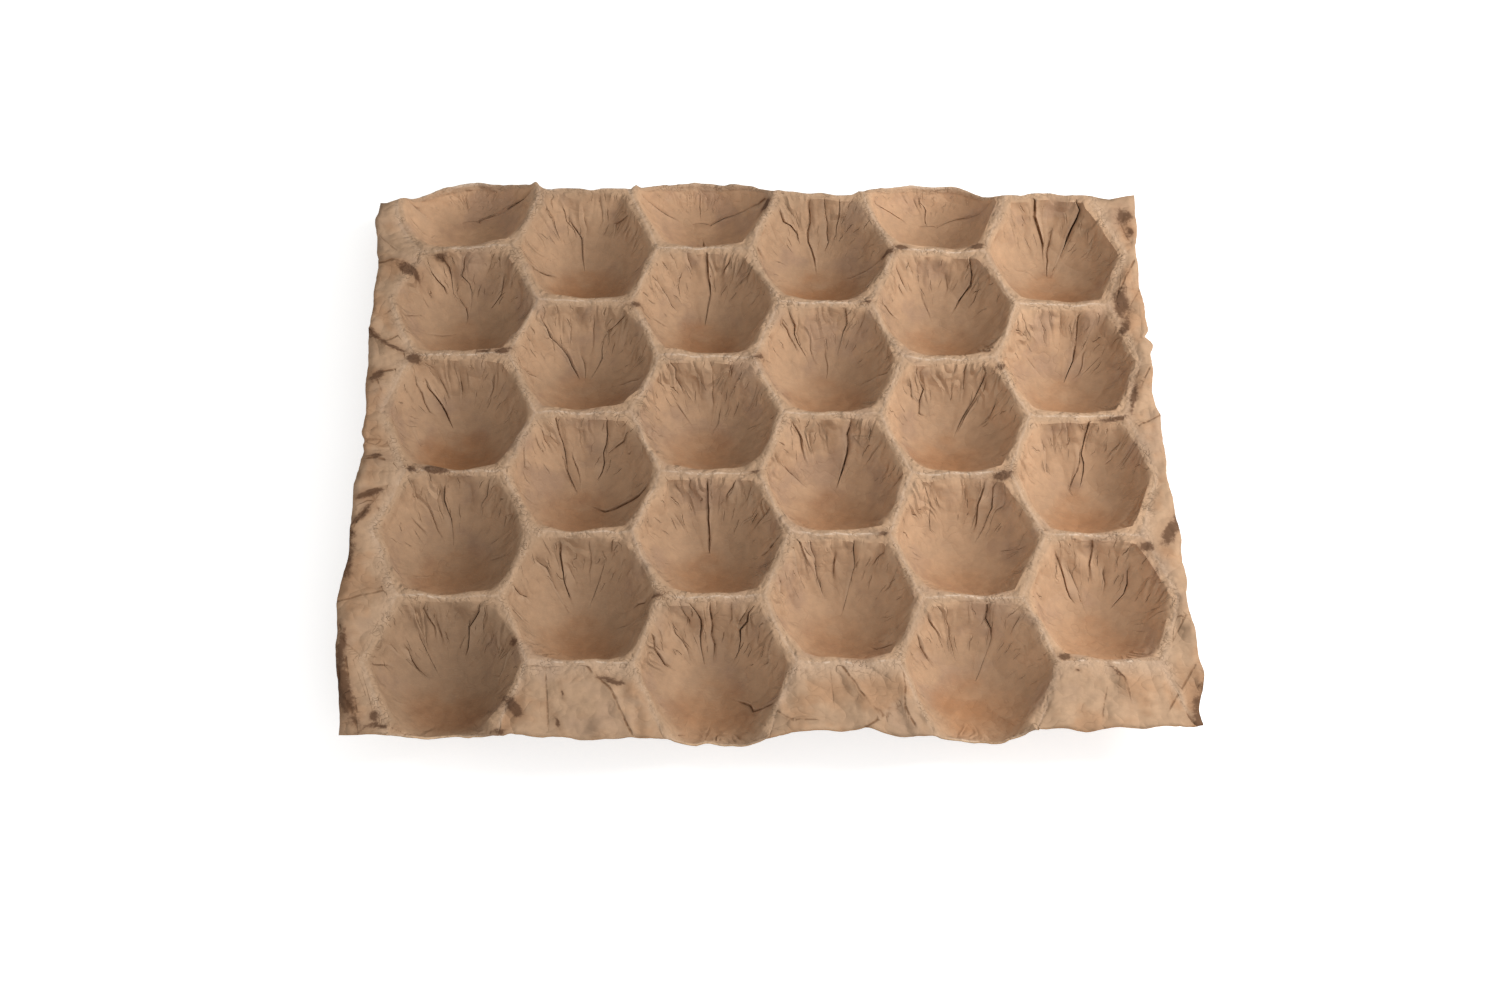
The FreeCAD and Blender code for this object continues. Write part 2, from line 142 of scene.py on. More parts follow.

# Creases in each cup, read off a grid: strength, then points down the wall as (direction
# in degrees, 0 to the right and 90 to the back; depth from the shoulder, 0, to the bottom, 1).
CREASES = {
    "1h": [(1.0, (8, .05), (15, .45), (22, .8), (40, .97)), (.7, (181, .15), (182, .6)),
           (.35, (104, .1), (102, .7)), (.5, (196, .2), (215, .6))],
    "1a": [(.9, (126, .33), (119, .62)), (.7, (111, .05), (99, .68)), (.7, (86, .1), (70, .8)),
           (.6, (105, .8), (85, .95)), (.5, (60, .08), (56, .25)), (.9, (52, .35), (38, .72)),
           (.6, (38, .2), (36, .35)), (.4, (200, .8), (205, .95)), (.4, (188, .3), (176, .6))],
    "1b": [(.7, (131, .18), (138, .7)), (1.0, (124, .45), (117, .88)), (.6, (112, .35), (106, .65)),
           (.9, (92, .35), (88, .62)), (.5, (58, .3), (54, .6)), (.5, (42, .5), (35, .42)),
           (.5, (20, .35), (17, .5)), (.5, (168, .68), (200, .72)), (.4, (186, .1), (196, .4))],
    "1c": [(1.0, (98, .27), (90, .62), (82, .85)), (.6, (104, .28), (110, .5)),
           (.8, (62, .05), (58, .42)), (.5, (54, .05), (50, .2)), (.4, (118, .35), (118, .85)),
           (.5, (140, .6), (138, .72)), (.5, (215, .7), (222, .8)), (.5, (350, .6), (352, .75)),
           (.5, (2, .1), (0, .25))],
    "1d": [(.7, (117, .15), (118, .42)), (.8, (109, .15), (104, .55)), (.8, (101, .35), (98, .6)),
           (.4, (116, .6), (118, .9)), (1.0, (140, .6), (147, .87)),
           (1.0, (64, .05), (69, .48), (64, .72)), (.8, (57, .1), (51, .4)),
           (1.0, (21, .3), (4, .55)), (.5, (152, .3), (150, .5)), (.4, (205, .5), (212, .65)),
           (.5, (178, .1), (166, .5))],
    "2a": [(.7, (121, 0), (127, .62)), (1.0, (106, .5), (84, .93)), (.6, (112, .2), (100, .6)),
           (.5, (79, .05), (73, .45)), (.7, (50, .15), (59, .42)), (.7, (33, .08), (31, .22)),
           (.8, (191, .4), (188, .8)), (.4, (350, .3), (348, .5)), (.4, (92, .3), (90, .6))],
    "2b": [(1.0, (128, .08), (131, .5), (121, .7), (118, .93)), (.7, (54, .15), (66, .46)),
           (.8, (65, .72), (50, .93)), (.4, (104, .3), (106, .6)), (.5, (96, .85), (86, .96)),
           (.5, (151, .05), (152, .3)), (.4, (32, .2), (25, .5)), (.6, (184, .2), (184, .6)),
           (1.0, (349, .38), (353, .76)), (.4, (44, .3), (40, .5)), (.35, (80, .3), (78, .7))],
    "2c": [(1.0, (112, 0), (112, .62), (118, .93)), (.7, (104, .7), (98, .88)),
           (.8, (71, 0), (66, .45), (56, .82)), (.7, (48, .15), (54, .42), (60, .55)),
           (.5, (135, .15), (134, .4)), (.5, (128, .1), (126, .42)), (.5, (121, .25), (118, .42)),
           (.6, (151, .05), (165, .35)), (1.0, (355, .2), (349, .48), (343, .77), (325, .92)),
           (.6, (192, .35), (200, .55))],
    "2d": [(1.0, (108, .08), (110, .55), (114, .84)), (.9, (131, .28), (121, .57), (118, .88)),
           (.6, (104, .5), (99, .68)), (.7, (65, .02), (64, .15)), (.7, (63, .52), (56, .85)),
           (.5, (40, .2), (42, .35)), (.9, (2, .2), (6, .5)), (.8, (168, 0), (165, .45)),
           (.6, (190, .15), (198, .35)), (.8, (212, .3), (225, .5)),
           (.8, (352, .3), (345, .75)), (.4, (84, .1), (80, .6))],
    "3h": [(1.0, (6, .1), (12, .6), (27, .95)), (.5, (172, .15), (163, .85)),
           (.35, (92, .1), (92, .8)), (.9, (272, .1), (275, .9)), (.5, (178, .1), (176, .4))],
    "3a": [(1.0, (87, 0), (86, .52), (76, .75), (62, .88), (20, .95)), (.9, (66, .08), (69, .4)),
           (.6, (55, .1), (56, .28)), (.9, (138, .22), (140, .5), (143, .75)),
           (.5, (25, .35), (20, .5)), (.8, (358, .1), (352, .3)), (.5, (182, .5), (183, .75)),
           (.5, (104, 0), (103, .3)), (.4, (118, .05), (116, .25))],
    "3b": [(.7, (119, 0), (108, .5)), (.5, (135, .12), (130, .32)),
           (.6, (86, 0), (84, .5), (78, .75)),
           (1.0, (58, .2), (50, .68)), (.5, (64, .02), (63, .12)), (.7, (66, .84), (40, .94)),
           (.5, (128, .72), (126, .84)), (.4, (8, .35), (6, .5)), (.5, (184, .4), (186, .55)),
           (.4, (38, .15), (33, .3)), (.35, (98, .2), (96, .6))],
    "3c": [(1.0, (92, .05), (91, .5), (88, .95)), (.6, (107, 0), (105, .22)),
           (.9, (67, .05), (74, .38)), (.6, (56, .1), (55, .4)), (1.0, (30, .05), (30, .5)),
           (.4, (45, .6), (38, .4)), (.5, (128, .6), (127, .7)), (1.0, (358, .15), (353, .52)),
           (.4, (118, .1), (114, .4))],
    "3d": [(.8, (116, .05), (109, .3)), (1.0, (108, 0), (101, .3), (98, .58), (93, .8)),
           (.6, (98, .08), (96, .4)), (1.0, (91, .05), (90, .58), (85, .78)),
           (.7, (127, .38), (123, .74)), (1.0, (151, .1), (156, .42), (160, .65)),
           (.7, (75, .05), (72, .3)), (.6, (69, 0), (68, .25)), (.8, (62, .07), (64, .3)),
           (1.0, (55, .1), (50, .38), (49, .75)), (1.0, (28, .05), (22, .35), (14, .52)),
           (.9, (326, .15), (320, .6), (330, .85)), (.5, (262, .05), (262, .25)),
           (.5, (242, .05), (244, .25)), (.4, (292, .05), (290, .3))],
    "4a": [(.9, (127, .08), (121, .42), (106, .6)),
           (.8, (97, .05), (98, .45), (103, .7), (96, .92)),
           (.9, (84, 0), (83, .25), (77, .6), (70, .75)), (.7, (73, 0), (68, .6)),
           (1.0, (359, .25), (357, .8)), (.9, (335, .05), (322, .2), (312, .1)),
           (.7, (177, .05), (175, .3)), (.4, (110, .2), (108, .4))],
    "4b": [(.7, (130, .05), (127, .62)), (.8, (121, .05), (119, .68)),
           (.9, (72, 0), (70, .27), (58, .53), (48, .7)), (.5, (56, .12), (55, .3)),
           (.4, (105, .5), (109, .8)), (.4, (96, .5), (98, .8)), (1.0, (350, .12), (356, .68)),
           (1.0, (349, .02), (344, .25), (338, .5), (324, .8)), (.5, (88, .8), (78, .93))],
    "4c": [(1.0, (74, 0), (74, .38), (64, .65), (50, .87)), (.6, (69, .3), (60, .33), (50, .2)),
           (.8, (123, .05), (119, .23), (123, .58)), (.4, (112, .3), (111, .65)),
           (.6, (151, .12), (152, .38)), (.8, (150, .48), (148, .78)), (.4, (98, .1), (96, .3)),
           (.5, (0, .12), (0, .35)), (.35, (88, .6), (86, .85))],
    "4d": [(.8, (129, 0), (133, .22), (134, .42)), (.9, (123, .02), (121, .35)),
           (.9, (113, .02), (114, .48), (116, .78)), (.8, (92, .32), (94, .62)),
           (1.0, (78, 0), (75, .33), (70, .68), (62, .9)), (.9, (54, .17), (58, .38)),
           (.7, (35, .18), (30, .5)), (.9, (157, .05), (165, .35)), (.9, (342, .35), (318, .65)),
           (.6, (310, .6), (318, .3))],
    "5h": [(.5, (8, .2), (14, .6), (30, .95)), (.4, (172, .2), (160, .8)),
           (.6, (96, .05), (92, .5), (98, .9))],
    "5a": [(.8, (128, .08), (129, .45)), (.6, (118, .12), (116, .3)),
           (1.0, (62, 0), (57, .28), (51, .42), (56, .78)), (.8, (44, .42), (34, .62)),
           (.8, (173, .18), (172, .6)), (.4, (81, .35), (77, .6)), (.4, (110, .75), (109, .88)),
           (.7, (325, .05), (318, .35))],
    "5b": [(.9, (129, .3), (134, .5)), (.6, (121, .25), (121, .42)),
           (.8, (112, .45), (123, .58), (134, .72)),
           (1.0, (61, .05), (50, .55), (30, .78), (22, .9)), (.9, (54, .52), (58, .88)),
           (.7, (33, .38), (28, .6)), (.6, (76, 0), (73, .35)), (.6, (324, .1), (322, .3))],
    "5c": [(.9, (114, .4), (123, .52), (132, .72)), (.5, (121, .15), (115, .33)),
           (1.0, (69, .05), (69, .45), (66, .75)), (.9, (61, .15), (56, .5), (44, .78)),
           (.6, (47, .28), (52, .48)), (.5, (86, .05), (84, .4)), (.4, (10, .3), (4, .5))],
    "5d": [(.9, (129, .12), (124, .5)), (.6, (118, 0), (116, .2)),
           (.7, (112, .08), (113, .57), (116, .78)), (.9, (149, .15), (153, .65)),
           (1.0, (70, .03), (67, .42), (61, .75), (50, .93)), (.7, (50, .1), (50, .35)),
           (.4, (280, .05), (278, .3)), (.4, (248, .05), (250, .3))],
    "6a": [(1.2, (101, 0), (101, .3), (92, .77)), (1.3, (67, 0), (62, .2), (64, .58), (56, .9)),
           (.6, (82, .55), (86, .83), (85, .97)), (.5, (122, .05), (122, .4)),
           (.6, (36, .35), (25, .55)), (.4, (160, .85), (140, .95))],
    "6b": [(1.0, (73, .1), (74, .32), (66, .78), (48, .93)), (.6, (56, .7), (42, .88)),
           (.6, (30, .05), (33, .25)), (.5, (140, .72), (140, .86)), (.5, (30, .7), (15, .8)),
           (.4, (110, .1), (108, .5)), (.4, (92, .05), (90, .3))],
    "6c": [(1.0, (79, 0), (74, .42), (58, .75), (12, .88)), (.8, (79, .58), (83, .86), (105, .96)),
           (.6, (50, .3), (54, .52)), (.9, (123, .46), (132, .72)), (.6, (100, .05), (97, .35)),
           (.4, (140, .2), (142, .4))],
    "6d": [(.9, (90, .02), (91, .57)), (.8, (122, .22), (120, .5), (126, .82)),
           (.8, (114, .5), (106, .73), (103, .87)), (.9, (75, .6), (68, .76)),
           (.8, (52, .46), (35, .8)), (.7, (80, .38), (70, .44)), (.5, (350, .15), (353, .5)),
           (.4, (60, .05), (58, .3))],
}

# Creases in the flat paper: strength, then points of each line in mm. Most of the points were
# marked by eye and turned into mm by another program.
FLAT_CREASES = [
    (.8, (-238, 125), (-229, 126), (-219, 125), (-212, 133)), (.6, (-229, 125), (-219, 117)),
    (1.0, (-240, 69), (-234, 61), (-226, 55), (-210, 50)), (.6, (-231, 60), (-222, 68)),
    (.5, (-231, 85), (-225, 91)), (.9, (-232, 37), (-213, 44)), (.6, (-233, 32), (-230, 24)),
    (.5, (-240, -11), (-228, -11), (-219, -18)), (.4, (-238, -13), (-224, -17)),
    (.8, (-236, -25), (-228, -25), (-208, -33)), (1.0, (-240, -55), (-229, -50), (-216, -41)),
    (.5, (-230, -52), (-226, -60)), (.7, (-243, -80), (-239, -71), (-231, -57)),
    (.6, (-247, -124), (-231, -119), (-220, -117), (-212, -117)), (.9, (-222, -114), (-212, -117)),
    (.5, (-240, -150), (-225, -162), (-210, -164), (-204, -160)),
    (.7, (-243, -139), (-239, -155), (-236, -172)), (.8, (-236, -180), (-230, -202)),
    (.8, (-243, -170), (-238, -186), (-232, -201)), (.5, (-226, -168), (-222, -190)),
    (.8, (-109, -156), (-104, -167), (-92, -180), (-89, -186), (-81, -204)),
    (.4, (-140, -165), (-120, -164)), (.5, (-128, -170), (-126, -200)),
    (1.0, (36, -163), (43, -176), (48, -186)), (.6, (48, -186), (52, -192), (60, -194)),
    (.9, (60, -193), (47, -205)), (.7, (70, -156), (71, -171), (70, -190), (75, -199)),
    (.4, (52, -192), (69, -188)), (.6, (-1, -191), (6, -198), (18, -199)),
    (.3, (30, -166), (31, -189)), (1.0, (190, -163), (194, -174), (196, -184)),
    (.5, (184, -180), (180, -194), (180, -203)), (.7, (236, -165), (218, -193)),
    (1.0, (238, 130), (225, 105), (218, 91)), (.7, (240, 9), (226, 2), (214, -6)),
    (.6, (228, 31), (219, 12)), (.6, (238, 44), (231, 29)), (.7, (219, -66), (218, -78)),
    (.5, (236, -133), (217, -161)), (.6, (213, -138), (224, -133), (240, -132)),
    (.5, (232, 168), (238, 150)), (.4, (240, 110), (232, 96)), (.4, (-236, 150), (-228, 138)),
]

# Dark stains: middle x, y, length and width in mm, direction, strength. Many of the middles
# came from that program too, and the rest is by eye.
STAINS = [
    (-220, 122, 14, 7, -25, .8), (-236, 65, 14, 6, -50, .9), (-224, 57, 18, 4, -25, .9),
    (-212, 50, 9, 6, -10, 1.0), (-233, 35, 9, 6, 60, .8), (-158, 56, 10, 4, 10, .9),
    (-230, -24, 12, 4, -5, .7), (-209, -32, 7, 4, -20, .8), (-194, -32, 17, 4.5, 0, 1.0),
    (-232, -51, 18, 4, 22, .8), (-237, -68, 22, 4, 58, .8), (-240, -80, 5, 6, 0, .9),
    (-243, -92, 34, 9, 87, .85), (-147, -147, 6, 5, 0, .8), (-238, -180, 44, 8, -75, .85),
    (-241, -150, 26, 5, -85, .75), (-220, -196, 5, 10, 0, .7), (-217, -203, 18, 4, 0, .7),
    (-146, -189, 17, 5, -55, .9), (-92, -174, 13, 4.5, -15, .9), (-119, -181, 8, 2, -75, .3),
    (-121, -200, 10, 3, -70, .4), (-153, -206, 8, 4, 0, .8), (-200, 134, 9, 3.5, 10, .8),
    (-78, 93, 9, 5, 15, .9), (82, 138, 7, 3.5, 0, .9), (91, 141, 8, 4, 0, 1.0),
    (139, 144, 9, 5, 10, 1.0), (6, 178, 9, 4, 60, .4), (226, 96, 26, 9, 80, .8),
    (226, 78, 11, 5, 60, .8), (236, 168, 16, 10, 80, .5), (239, 155, 10, 4, 80, .6),
    (145, 47, 10, 4, 20, .7), (140, -34, 13, 6, 25, .8), (225, 24, 24, 5, 75, .6),
    (212, 8, 18, 2.6, 5, .7), (162, -158, 7, 6, 0, 1.0), (169, -168, 3, 2, 0, .7),
    (192, -170, 14, 2, -60, .4), (238, -191, 32, 11, 80, .8), (236, -72, 26, 8, 55, .7),
    (219, -84, 8, 6, 0, .8), (-170, 56, 8, 3, 0, .5), (-2, 54, 7, 4, 20, .6),
    (66, 96, 7, 3, 0, .5), (139, 60, 6, 4, 0, .5), (-8, -33, 6, 3, 0, .5),
    (66, -76, 6, 4, 0, .5), (-66, -118, 6, 4, 0, .4),
]

# Places where the cut edge is torn, bent or juts out: x, y, then the push in x, y and z, and
# how far it spreads, all in mm. Some of the places came from that program, the rest is by eye.
EDGE_BITS = [
    (-225, 178, 0, 3, 1.5, 7), (-236, 172, 1, -3, -2, 6), (-141, 190, 0, 3, 1.5, 3),
    (-131, 186, 0, -1.5, 0, 4), (-78, 190, 0, 2.5, 1, 3), (9, 187, 0, -1.5, 0, 4),
    (66, 189, 0, 2, 1, 3), (140, 183, 0, -2, 0, 3), (152, 186, 0, 3, 1, 3),
    (240, 70, -4, 0, 0, 3), (241, 62, 2, 0, 0, 4), (-240, -12, 2, 0, 0, 3),
    (-241, -20, 2, 0, 0, 4), (-246, -204, 1, 0, 0, 6), (-154, -205, 2, -1.5, 0, 5),
    (20, -200, 2, 0, 0, 6), (-237, 160, -3.5, 1.5, 0, 14), (-215, 180, 0, 2.5, 0, 14),
    (-170, 205, 0, -2, 0, 14), (150, 195, 0, -5, 0, 12), (228, 190, 0, -4, 0, 16),
    (190, 190, 0, 1.5, 0, 10), (52, 195, 0, -3, 0, 12), (240, 30, -2, 0, 0, 22),
    (242, -40, -2.5, 0, 0, 24), (242, -195, -6, 0, 0, 14), (246, -130, -1.5, 0, 0, 24),
    (-246, -90, 3, 0, 0, 18), (-244, -195, 2, 0, 0, 14), (-130, -205, 0, -2.5, 0, 16),
    (-95, -205, 0, -4.5, 0, 22), (-50, -207, 0, -4, -1, 22), (-15, -207, 0, -5, -1, 20),
    (70, -204, 0, -4, 0, 16), (100, -204, 0, -4, -1, 16), (125, -205, 0, -5, 0, 12),
    (170, -204, 0, -2, 0, 12), (-185, -208, 0, 2, 0, 14),
]


def settings():
    return bpy.context.scene.apple_tray


# ---------------- the pressed form
def column_axis(column):
    return (column - (COLUMNS - 1) / 2) * COLUMN_PITCH


def is_shifted(column):
    """Every other column sits half a cup further forward and starts with a half cup."""
    return column % 2 == 0


def waver(x, y, kind):
    """A smooth unevenness between -1 and 1 that differs from place to place."""
    turn = 2 * math.pi / PITCH
    return sum(np.sin(turn * (across * x + along * y) + phase * kind)
               for across, along, phase in WAVERING) / len(WAVERING)


def cut_arch(x, half_width):
    """How far x lies inside a cup that the edge cuts: 0 at its corners, 1 on its axis."""
    arch = np.zeros_like(x)
    for column in range(COLUMNS):
        if is_shifted(column):
            arch = np.maximum(arch, 1 - ((x - column_axis(column)) / half_width) ** 2)
    return arch


def openness(x, y):
    """0 where a rim point is on a ridge, up to 1 where the edge cuts the cup's wall."""
    back = np.where(np.abs(y - BACK_LINE) < TINY, cut_arch(x, REACH), 0)
    front = np.where(np.abs(y - FRONT_LINE) < TINY, cut_arch(x, HALF_SIDE), 0)
    return back + front


def half_ridge(x, y):
    """Half of the ridge's width: the back edge cuts most of it off the cups that end there."""
    along_back = (np.abs(y - BACK_LINE) < TINY) & (cut_arch(x, REACH) == 0)
    return HALF_RIDGE * np.where(along_back, BACK_RIDGE_LEFT, 1.0)


def side_reach(side, y):
    """Reach beyond the left (-1) or right (1) column's corners of the cut edge at y."""
    if side < 0:
        from_swell = (y - FRONT_LINE - PITCH) / PITCH
        reach = LEFT_MARGIN + LEFT_SWELL * np.exp(-(from_swell / SWELL_SPREAD) ** 2)
    else:
        from_back = (BACK_LINE - y) / PITCH
        reach = RIGHT_MARGIN + RIGHT_FLARE * np.exp(-(from_back / FLARE_SPREAD) ** 2)
    return reach + EDGE_WAVE * waver(side * PITCH, y, 5)


def settled(x, y, hang):
    """Where points of the flat honeycomb pattern lie in the pressed sheet."""
    x, y, hang = np.broadcast_arrays(x, y, hang)
    corner = np.exp(-(((x - LEFT_LINE) ** 2 + ((y - BACK_LINE) / 2) ** 2) / HALF_SIDE ** 2))
    lip = FRONT_LIP - FRONT_SLANT * (x - LEFT_LINE) / (RIGHT_LINE - LEFT_LINE)
    on_back = np.abs(y - BACK_LINE) < TINY
    on_front = np.abs(y - FRONT_LINE) < TINY
    back_arch = cut_arch(x, REACH)
    front_arch = cut_arch(x, HALF_SIDE)
    reach = (on_back * (BACK_LIP + BACK_BULGE * back_arch)
             - on_front * (lip - FRONT_CUT * front_arch))
    drop = on_back * BACK_DROP * back_arch + on_front * FRONT_DROP * front_arch
    return np.stack([x + UNEVEN * waver(x, y, 1),
                     y + UNEVEN * waver(x, y, 2) - CORNER_DROP * corner + reach,
                     UNEVEN * waver(x, y, 3) - RIDGE_SAG * hang - CORNER_DROP * corner - drop],
                    axis=-1)


# ---------------- pressing a cup
def cup_blank():
    """A round paper bowl, extruded ring by ring from its rim down to its flat spot."""
    bpy.ops.object.select_all(action="DESELECT")
    bpy.ops.mesh.primitive_circle_add(vertices=FOLDS, radius=PITCH / 2, fill_type="NOTHING")
    blank = bpy.context.object
    bpy.ops.object.mode_set(mode="EDIT")
    bpy.ops.mesh.select_all(action="SELECT")
    for ring in range(1, RINGS):
        bpy.ops.mesh.extrude_region_move(
            TRANSFORM_OT_translate={"value": (0, 0, -CUP_DEPTH / (RINGS - 1))})
        shrink = 1 - 1 / (RINGS + 1 - ring)
        bpy.ops.transform.resize(value=(shrink, shrink, 1))
    bpy.ops.mesh.edge_face_add()
    bpy.ops.object.mode_set(mode="OBJECT")
    return blank


def vertex_vectors(mesh, name="co"):
    """Every vertex's place, or its normal, in rows."""
    flat = np.empty(len(mesh.vertices) * 3)
    mesh.vertices.foreach_get(name, flat)
    return flat.reshape(-1, 3)


def blank_places(mesh):
    """The ring and the fold of each of the blank's vertices, read from where they lie."""
    co = vertex_vectors(mesh)
    ring = np.rint(-co[:, 2] / (CUP_DEPTH / (RINGS - 1))).astype(int)
    turn = np.arctan2(co[:, 1], co[:, 0]) / (2 * math.pi)
    return ring, np.rint(turn * FOLDS).astype(int) % FOLDS


def hexagon(x, y):
    """A cup's corners in the flat pattern, anticlockwise from its right one."""
    back, front = y + PITCH / 2, y - PITCH / 2
    return [(x + REACH, y), (x + HALF_SIDE, back), (x - HALF_SIDE, back), (x - REACH, y),
            (x - HALF_SIDE, front), (x + HALF_SIDE, front)]


def along_sides(sides):
    """Flat pattern points along sides, each (start, end, folds, 1 for a ridge), and their hang."""
    return [(start[0] + (end[0] - start[0]) * fold / folds,
             start[1] + (end[1] - start[1]) * fold / folds,
             4 * fold / folds * (1 - fold / folds) * is_ridge)
            for start, end, folds, is_ridge in sides for fold in range(folds)]


def rim_pattern(x, y, half):
    """Flat pattern points all along a cup's rim, anticlockwise from its right corner."""
    corners = hexagon(x, y)
    sides = [(start, end, folds, 1) for start, end, folds in
             zip(corners, corners[1:] + corners[:1], (SLANT_FOLDS, RIM_FOLDS, SLANT_FOLDS) * 2)]
    if half:
        sides[:3] = [(corners[0], corners[3], CUT_FOLDS, 0)]
    points = along_sides(sides)
    return np.array(points + points[:1])


def crease_columns(creases, to_fold):
    """Gives each crease a line of vertices of its own, and drops those that find none."""
    taken = []
    for crease in sorted(creases, reverse=True):
        strength, path = crease[0], crease[1:]
        angle = min(path, key=lambda point: point[1])[0]
        wanted = int(round(float(to_fold(angle)))) % FOLDS
        for shift in (0, 1, -1, 2, -2, 3, -3, 4, -4):
            column = (wanted + shift) % FOLDS
            if all(min((column - c) % FOLDS, (c - column) % FOLDS) > 2 for c, _, _ in taken):
                taken.append((column, strength, path))
                break
    return sorted(taken)


def small_gathers(chance):
    """Short random gathers, most of them under the back rim, each like one of the creases."""
    found = []
    for _ in range(SMALL_GATHERS):
        angle = chance.choice((chance.uniform(50, 130), chance.uniform(20, 160)))
        start = chance.uniform(0, 0.25)
        length = chance.uniform(0.1, 0.35)
        found.append((chance.uniform(0.15, 0.4), (angle, start),
                      (angle + chance.uniform(-4, 4), start + length)))
    return found


def laid_folds(drawn):
    """Where all of a ring's folds lie, given the (fold, place) of those drawn to a crease."""
    columns, places = np.array(sorted(drawn), float).T
    for i in range(1, len(columns)):
        places[i] = max(places[i], places[i - 1] + LEAST_GAP * (columns[i] - columns[i - 1]))
    around = np.concatenate([columns - FOLDS, columns, columns + FOLDS])
    laid = np.concatenate([places - FOLDS, places, places + FOLDS])
    return np.interp(np.arange(FOLDS), around, np.maximum.accumulate(laid))


def wall_profile():
    """How deep each ring lies, 0 at the shoulder and 1 at the bottom, and how long it is."""
    steepest = math.radians(RIM_ANGLE)
    flat = math.asin(BOTTOM_FLAT / PITCH * math.sin(steepest))
    slopes = ([steepest] * (1 + len(RIDGE_STEPS)) + [steepest * share for share in WALL_STEPS]
              + [flat])
    depths = [(math.cos(slope) - math.cos(steepest)) / (math.cos(flat) - math.cos(steepest))
              for slope in slopes]
    return depths, [math.pi * PITCH * math.sin(slope) / math.sin(steepest) for slope in slopes]


class Cup:
    """One cup about the axis at x, y, pressed into a copy of the blank."""

    def __init__(self, x, y, half, name, seed):
        self.x, self.y, self.name = x, y, name
        self.chance = random.Random(seed)
        self.seed = seed
        # How strongly the painted warm shade shows in this cup's bottom
        self.shade_warmth = HALF_SHADE_WARMTH if half else self.chance.uniform(*SHADE_WARMTH)
        # Paler towards the front right and darker towards the front left: painted light for the
        # lamp at the right, on a random tone
        frontness = (BACK_LINE - y) / (BACK_LINE - FRONT_LINE)
        pale = PAINTED_LIGHT_MIDDLE + PAINTED_LIGHT_TO_RIGHT * x * frontness + self.chance.uniform(*PALE)
        self.pale = HALF_PALE if half else pale
        self.gathered = HALF_GATHERED if half else self.chance.uniform(*GATHERED)
        self.pattern = rim_pattern(x, y, half)
        rim = settled(*self.pattern.T)
        angles = np.degrees(np.unwrap(np.arctan2(rim[:, 1] - y, rim[:, 0] - x)))
        self.angles = np.maximum.accumulate(angles)

    def to_fold(self, angle):
        """The fold, between whole numbers too, that lies in this direction."""
        turned = (angle - self.angles[0]) % 360 + self.angles[0]
        return np.interp(turned, self.angles, np.arange(FOLDS + 1))

    def lay_folds(self, depths, ring_length):
        """Where each ring's vertices lie along the rim, drawn onto the creases, and the
        grooves, lips and crease marks there."""
        creases = crease_columns(CREASES.get(self.name, []) + small_gathers(self.chance),
                                 self.to_fold)
        folds = np.tile(np.arange(FOLDS, dtype=float), (RINGS, 1))
        groove, lip, strength = np.zeros((3, RINGS, FOLDS))
        away = np.full((RINGS, FOLDS), FAR)
        lip_sides = [self.chance.choice((-1, 1)) for _ in creases]
        for ring in range(1, RINGS):
            spacing = ring_length[ring] / FOLDS
            free = min(1.0, ring / len(RIDGE_STEPS))
            drawn = []
            for (column, weight, path), lip_side in zip(creases, lip_sides):
                path = sorted(path, key=lambda point: point[1])
                depth = min(max(depths[ring], path[0][1]), path[-1][1])
                angle = np.interp(depth, [d for a, d in path], [a for a, d in path])
                angle += self.chance.uniform(-CREASE_JOG, CREASE_JOG)
                wanted = float(self.to_fold(angle))
                shift = (wanted - column + FOLDS / 2) % FOLDS - FOLDS / 2
                beyond = abs(depths[ring] - depth)
                active = math.exp(-(beyond / CREASE_END) ** 2) * (ring >= len(RIDGE_STEPS))
                reach = math.exp(-(beyond / CREASE_DRAW) ** 2) * free
                close = 1 + (min(1.0, CREASE_GAP / spacing) - 1) * active * free
                for side in (-1, 0, 1):
                    fold = (column + side) % FOLDS
                    drawn.append((column + side, column + shift * reach + side * close))
                    strength[ring, fold] = weight * active
                    away[ring, fold] = abs(side) * close * spacing
                groove[ring, column] -= weight * active
                for side, share in zip((lip_side, -lip_side), CREASE_SIDES):
                    groove[ring, (column + side) % FOLDS] += share * weight * active
                for beside in (-5, -4, -3, -2, 2, 3, 4, 5):
                    swell = math.exp(-((abs(beside) - CREASE_SWELL[0]) / CREASE_SWELL[1]) ** 2)
                    groove[ring, (column + beside) % FOLDS] += weight ** 2 * active * swell
                lip[ring, (column + lip_side) % FOLDS] = weight * active
            folds[ring] = laid_folds(drawn)
        return folds, groove, lip, strength, away

    def press(self):
        """Every vertex's place, by ring and fold, and what the paper is like there."""
        depths, lengths = wall_profile()
        folds, groove, lip, strength, away = self.lay_folds(depths, lengths)
        places, round_wall = np.empty((2, RINGS, FOLDS, 3))
        for ring in range(RINGS):
            places[ring], out = self.press_ring(ring, folds[ring])
            angle = np.arctan2(out[:, 1], out[:, 0])
            round_wall[ring, :, 0] = np.cos(angle)
            round_wall[ring, :, 1] = np.sin(angle)
            round_wall[ring, :, 2] = depths[ring]
        lift = (groove * settings().crease_depth
                + self.pleats(round_wall) * self.gathered * settings().gather_depth)
        lift[[0, -1]] = 0
        places += grid_normals(places) * lift[:, :, None]
        wall = np.zeros((RINGS, FOLDS))
        wall[1:] = np.minimum(1, (np.arange(1, RINGS) / len(RIDGE_STEPS)) ** 2)[:, None]
        marks = {"fold_away": away, "fold_strength": strength, "fold_lip": lip, "wall": wall,
                 "wall_run": round_wall}
        for name, value in (("cup", self.seed), ("shade_warmth", self.shade_warmth),
                            ("gathered", self.gathered), ("pale", self.pale), ("loose", 0)):
            marks[name] = np.full((RINGS, FOLDS), float(value))
        return places, marks

